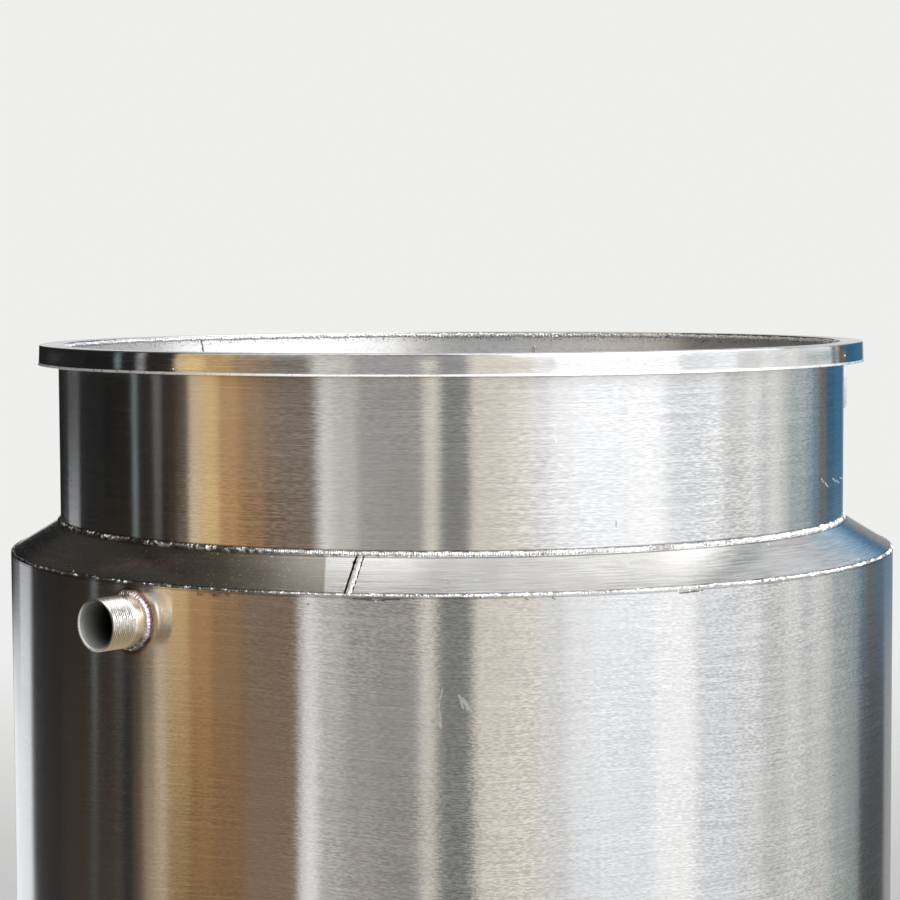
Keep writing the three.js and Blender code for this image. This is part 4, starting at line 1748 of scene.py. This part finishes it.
GROUND = Tier(-90.0, -90.0, (Card(180, Tint.PLAIN, 0.5),))
WAIST = Tier(-40.0, -26.0, (
    Card(-165, Tint.PLAIN, 0.5), Card(-139, Tint.COOL, 1.05), Card(-118, Tint.WARM, 0.045),
    Card(-93, Tint.SAND, 0.058), Card(-88, Tint.WARM, 0.03), Card(-84.5, Tint.TAUPE, 0.12),
    Card(-76.5, Tint.SAND, 0.41), Card(-67, Tint.BROWN, 0.115), Card(-54, Tint.BROWN, 0.138),
    Card(-38.9, Tint.TAUPE, 0.19), Card(-34, Tint.PLAIN, 1.1), Card(-28.5, Tint.SAGE, 0.5),
    Card(-19, Tint.WARM, 0.45), Card(-8.8, Tint.WARM, 0.38), Card(-4.7, Tint.CREAM, 0.8),
    Card(4.9, Tint.PLAIN, 0.25), Card(22, Tint.CREAM, 0.93), Card(29, Tint.PLAIN, 0.86),
    Card(51, Tint.COOL, 1.03), Card(63, Tint.PLAIN, 1.24), Card(76, Tint.COOL, 0.96),
    Card(84, Tint.PLAIN, 0.84), Card(92, Tint.PLAIN, 0.7), Card(101, Tint.PLAIN, 0.78),
    Card(111, Tint.PLAIN, 0.7), Card(119, Tint.MINT, 0.52), Card(127, Tint.MINT, 0.4),
    Card(149, Tint.PLAIN, 0.09), Card(165, Tint.PLAIN, 0.36), Card(180, Tint.PLAIN, 0.5)))
SHOULDER_CARDS = (
    Card(-168, Tint.PLAIN, 0.7), Card(-148.5, Tint.PLAIN, 0.015), Card(-136.5, Tint.COOL, 0.02),
    Card(-118, Tint.PLAIN, 0.022), Card(-102.6, Tint.PLAIN, 0.012), Card(-100.4, Tint.TEAL, 0.45),
    Card(-93, Tint.PLAIN, 0.02), Card(-89.5, Tint.PLAIN, 0.16), Card(-79.4, Tint.WARM, 0.025),
    Card(-75, Tint.SAND, 0.85), Card(-68.5, Tint.TAN, 0.98), Card(-62, Tint.BROWN, 0.46),
    Card(-54, Tint.BROWN, 0.25), Card(-37, Tint.TAUPE, 0.112), Card(-31.5, Tint.PLAIN, 0.95),
    Card(-26, Tint.SAGE, 0.88), Card(-8, Tint.WARM, 0.46), Card(-3.6, Tint.CREAM, 1.5),
    Card(4.5, Tint.PLAIN, 0.26), Card(20.7, Tint.CREAM, 0.86), Card(27, Tint.PLAIN, 0.92),
    Card(34, Tint.PLAIN, 1.13), Card(61, Tint.COOL, 1.3), Card(76, Tint.COOL, 0.98),
    Card(82, Tint.COOL, 1.2), Card(91, Tint.PLAIN, 0.84), Card(97, Tint.PLAIN, 1.08),
    Card(101, Tint.COOL, 0.78), Card(107, Tint.PLAIN, 1.05), Card(111.5, Tint.PLAIN, 0.78),
    Card(121.5, Tint.TEAL, 0.5), Card(126.5, Tint.STEEL, 0.4), Card(131, Tint.STEEL, 0.33),
    Card(137.5, Tint.WARM, 0.21), Card(147, Tint.BLUE, 0.135), Card(162, Tint.BLUE, 0.17),
    Card(168, Tint.COOL, 0.3), Card(180, Tint.PLAIN, 0.7))
LOWER_STRIPS = {-136.5: Card(-136.5, Tint.COOL, 0.65), -100.4: Card(-100.4, Tint.TEAL, 0.22),
                -89.5: Card(-89.5, Tint.PLAIN, 0.09), -75: Card(-75, Tint.SAND, 0.72),
                -68.5: Card(-68.5, Tint.TAN, 0.78), -62: Card(-62, Tint.BROWN, 0.38),
                -3.6: Card(-3.6, Tint.CREAM, 0.75), 137.5: Card(137.5, Tint.STEEL, 0.24),
                147: Card(147, Tint.STEEL, 0.27), 162: Card(162, Tint.STEEL, 0.27)}
NAPE = Tier(-9.0, -6.8, tuple(LOWER_STRIPS.get(card.right, card) for card in SHOULDER_CARDS))
SHOULDER = Tier(-6.6, -4.4, SHOULDER_CARDS)
BROW = Tier(-1.5, 1.5, (
    Card(-168, Tint.PLAIN, 0.7), Card(-102.6, Tint.PLAIN, 0.018), Card(-100.4, Tint.TEAL, 0.2),
    Card(-93.3, Tint.PLAIN, 0.022), Card(-90, Tint.PLAIN, 0.36), Card(-78.6, Tint.WARM, 0.025),
    Card(-70, Tint.TAN, 0.54), Card(-60, Tint.TAN, 0.4), Card(-49, Tint.SAND, 0.3),
    Card(-38, Tint.SAGE, 0.28), Card(-27, Tint.SAGE, 0.72), Card(-7, Tint.PLAIN, 0.5),
    Card(-3.6, Tint.SAGE, 0.6), Card(4.5, Tint.PLAIN, 0.46), Card(20.7, Tint.CREAM, 0.95),
    Card(27, Tint.PLAIN, 1.15), Card(63, Tint.COOL, 1.6), Card(73, Tint.COOL, 1.15),
    Card(82, Tint.COOL, 1.25), Card(91, Tint.PLAIN, 0.95), Card(108, Tint.PLAIN, 1.05),
    Card(119, Tint.PLAIN, 0.95), Card(127, Tint.PLAIN, 1.0), Card(129, Tint.PLAIN, 0.06),
    Card(132, Tint.PLAIN, 0.6), Card(134, Tint.PLAIN, 0.05), Card(137.5, Tint.WARM, 0.14),
    Card(162, Tint.BLUE, 0.16), Card(168, Tint.COOL, 0.3), Card(180, Tint.PLAIN, 0.7)))
CROWN = Tier(9.0, 22.0, (
    Card(-165, Tint.PLAIN, 0.8), Card(-105, Tint.WARM, 0.075), Card(-80, Tint.WARM, 0.09),
    Card(-66, Tint.WARM, 1.2), Card(-50, Tint.WARM, 1.15), Card(-38, Tint.WARM, 0.85),
    Card(-30, Tint.WARM, 0.34), Card(-21, Tint.COOL, 0.34), Card(2, Tint.COOL, 0.1),
    Card(11, Tint.PLAIN, 0.55), Card(16, Tint.PLAIN, 1.3), Card(36, Tint.PLAIN, 3.6),
    Card(63, Tint.PLAIN, 4.9), Card(105, Tint.PLAIN, 4.4), Card(125, Tint.PLAIN, 0.5),
    Card(140, Tint.TEAL, 0.4), Card(146.5, Tint.COOL, 1.7), Card(149.5, Tint.TAUPE, 0.4),
    Card(152, Tint.STEEL, 0.12),
    Card(156, Tint.STEEL, 0.6), Card(161, Tint.STEEL, 0.8), Card(166, Tint.BLUE, 0.7),
    Card(180, Tint.PLAIN, 0.8)))
OVERHEAD = Tier(44.0, 56.0, (
    Card(-134, Tint.WARM, 0.04), Card(-110, Tint.SAND, 0.18), Card(-94, Tint.SAND, 0.32),
    Card(-76, Tint.WARM, 0.3),
    Card(-16, Tint.PLAIN, 2.5), Card(18, Tint.PLAIN, 1.75), Card(48, Tint.PLAIN, 1.15),
    Card(68, Tint.PLAIN, 1.2), Card(95, Tint.PLAIN, 0.9), Card(120, Tint.PLAIN, 0.5),
    Card(140, Tint.PLAIN, 0.45),
    Card(180, Tint.COOL, 1.3)))
ZENITH = Tier(76.0, 84.0, (Card(-40, Tint.PLAIN, 0.5), Card(180, Tint.PLAIN, 2.0)))


@dataclass
class Studio:
    """Pale floor, tiers of cards round the tank, and the camera."""

    lens: float = 101.9
    position: Vector = Vector((1.6954, -2.0047, 1.46985))
    pitch: float = 3.974
    roll: float = -0.276
    yaw: float = 0.296
    floor_radius: float = 9.0
    pale: Colour = (0.86, 0.86, 0.85)
    edge: float = 0.6
    sectors: int = 4
    tiers: tuple[Tier, ...] = (GROUND, WAIST, NAPE, SHOULDER, BROW, CROWN, OVERHEAD, ZENITH)

    def build(self) -> None:
        """Builds the floor, the light and the camera."""
        self.lay_floor()
        self.hang_lights()
        self.set_camera()

    def lay_floor(self) -> None:
        """Lays a pale floor that fades out into the backdrop."""
        bm = bmesh.new()
        bmesh.ops.create_circle(bm, cap_ends=True, segments=128, radius=self.floor_radius)
        floor = set_down("floor", keep_mesh("floor", bm))
        floor.visible_glossy = False
        material, graph, place = start_finish("pale floor")
        mottle = graph.noise(place, 3.0, 3.0)
        away = graph.vector("LENGTH", place)
        graph.shade(Base_Color=graph.blend(mottle, (0.4, 0.4, 0.395), (0.45, 0.45, 0.445)),
                    Roughness=0.7, Specular_IOR_Level=0.2,
                    Alpha=graph.remap(away, 2.2, self.floor_radius - 1.0, 1.0, 0.0))
        floor.data.materials.append(material)

    def stand(self, graph: Graph, bearing: Socket, cards: Sequence[Card]) -> Socket:
        """Stands cards side by side as one band of colour round the tank.

        Args:
            graph: The world's nodes.
            bearing: Bearing right of the camera, from -180 to 180 degrees.
            cards: The cards, from left to right.

        Returns:
            The band's colour.
        """
        width = 360.0 / self.sectors
        band: Socket | None = None
        for sector in range(self.sectors):
            start = sector * width - 180.0
            stops: list[tuple[float, Colour]] = []
            left = -180.0
            for card in cards:
                colour = tuple(card.strength * part for part in card.tint.value)
                first = max(left + self.edge, start)
                last = min(card.right - self.edge, start + width)
                if last > first:
                    stops += [((first - start) / width, colour), ((last - start) / width, colour)]
                left = card.right
            colours = graph.ramp(graph.remap_line(bearing, start, start + width), stops)
            if band:
                past = graph.math("GREATER_THAN", bearing, start)
                colours = graph.blend(past, band, colours)
            band = colours
        return band

    def hang_lights(self) -> None:
        """Sets the tiers of cards round the tank, out of the camera's sight."""
        world = bpy.data.worlds.new("studio")
        bpy.context.scene.world = world
        world.use_nodes = True
        graph = Graph(world.node_tree)
        way = graph.axes(graph.add("TexCoord").outputs["Generated"])
        turned = graph.math("ARCTAN2", way[0], graph.math("MULTIPLY", way[1], -1.0))
        bearing = graph.math("MULTIPLY_ADD", turned, math.degrees(1.0), -PHOTO_AZIMUTH)
        bearing = graph.math("WRAP", bearing, 180.0, -180.0)
        lift = graph.math("MULTIPLY", graph.math("ARCSINE", way[2]), math.degrees(1.0))
        lit = self.stand(graph, bearing, self.tiers[0].cards)
        for tier in self.tiers[1:]:
            lit = graph.blend(graph.remap(lift, tier.begins, tier.full), lit,
                              self.stand(graph, bearing, tier.cards))
        seen = graph.add("LightPath").outputs["Is Camera Ray"]
        shader = graph.add("Background", {"Color": graph.blend(seen, lit, self.pale)})
        graph.add("OutputWorld", {"Surface": shader.outputs[0]})

    def set_camera(self) -> None:
        """Sets the camera where the photo was taken from."""
        data = bpy.data.cameras.new("camera")
        data.lens, data.sensor_width = self.lens, 36.0
        data.clip_start, data.clip_end = 0.05, 100.0
        camera = set_down("camera", data)
        turns = (Matrix.Rotation(math.radians(PHOTO_AZIMUTH - self.yaw), 4, "Z"),
                 Matrix.Rotation(math.radians(90.0 - self.pitch), 4, "X"),
                 Matrix.Rotation(math.radians(self.roll), 4, "Z"))
        camera.matrix_world = Matrix.Translation(self.position) @ turns[0] @ turns[1] @ turns[2]
        bpy.context.scene.camera = camera


def main() -> None:
    """Builds the tank and its studio."""
    logging.basicConfig(level=logging.INFO, format="%(name)s: %(message)s")
    bpy.context.scene.view_settings.view_transform = "Standard"
    for part in (Studio(), InnerVessel(), Rim(), ClosingCone(), Jacket(),
                 Nipple("upper_nipple", 0.0, 1158.6), Nipple("drain_nipple", 180.0, 430.0),
                 Outlet(), Legs()):
        LOG.info("building %s", type(part).__name__)
        part.build()


if __name__ == "__main__":
    main()
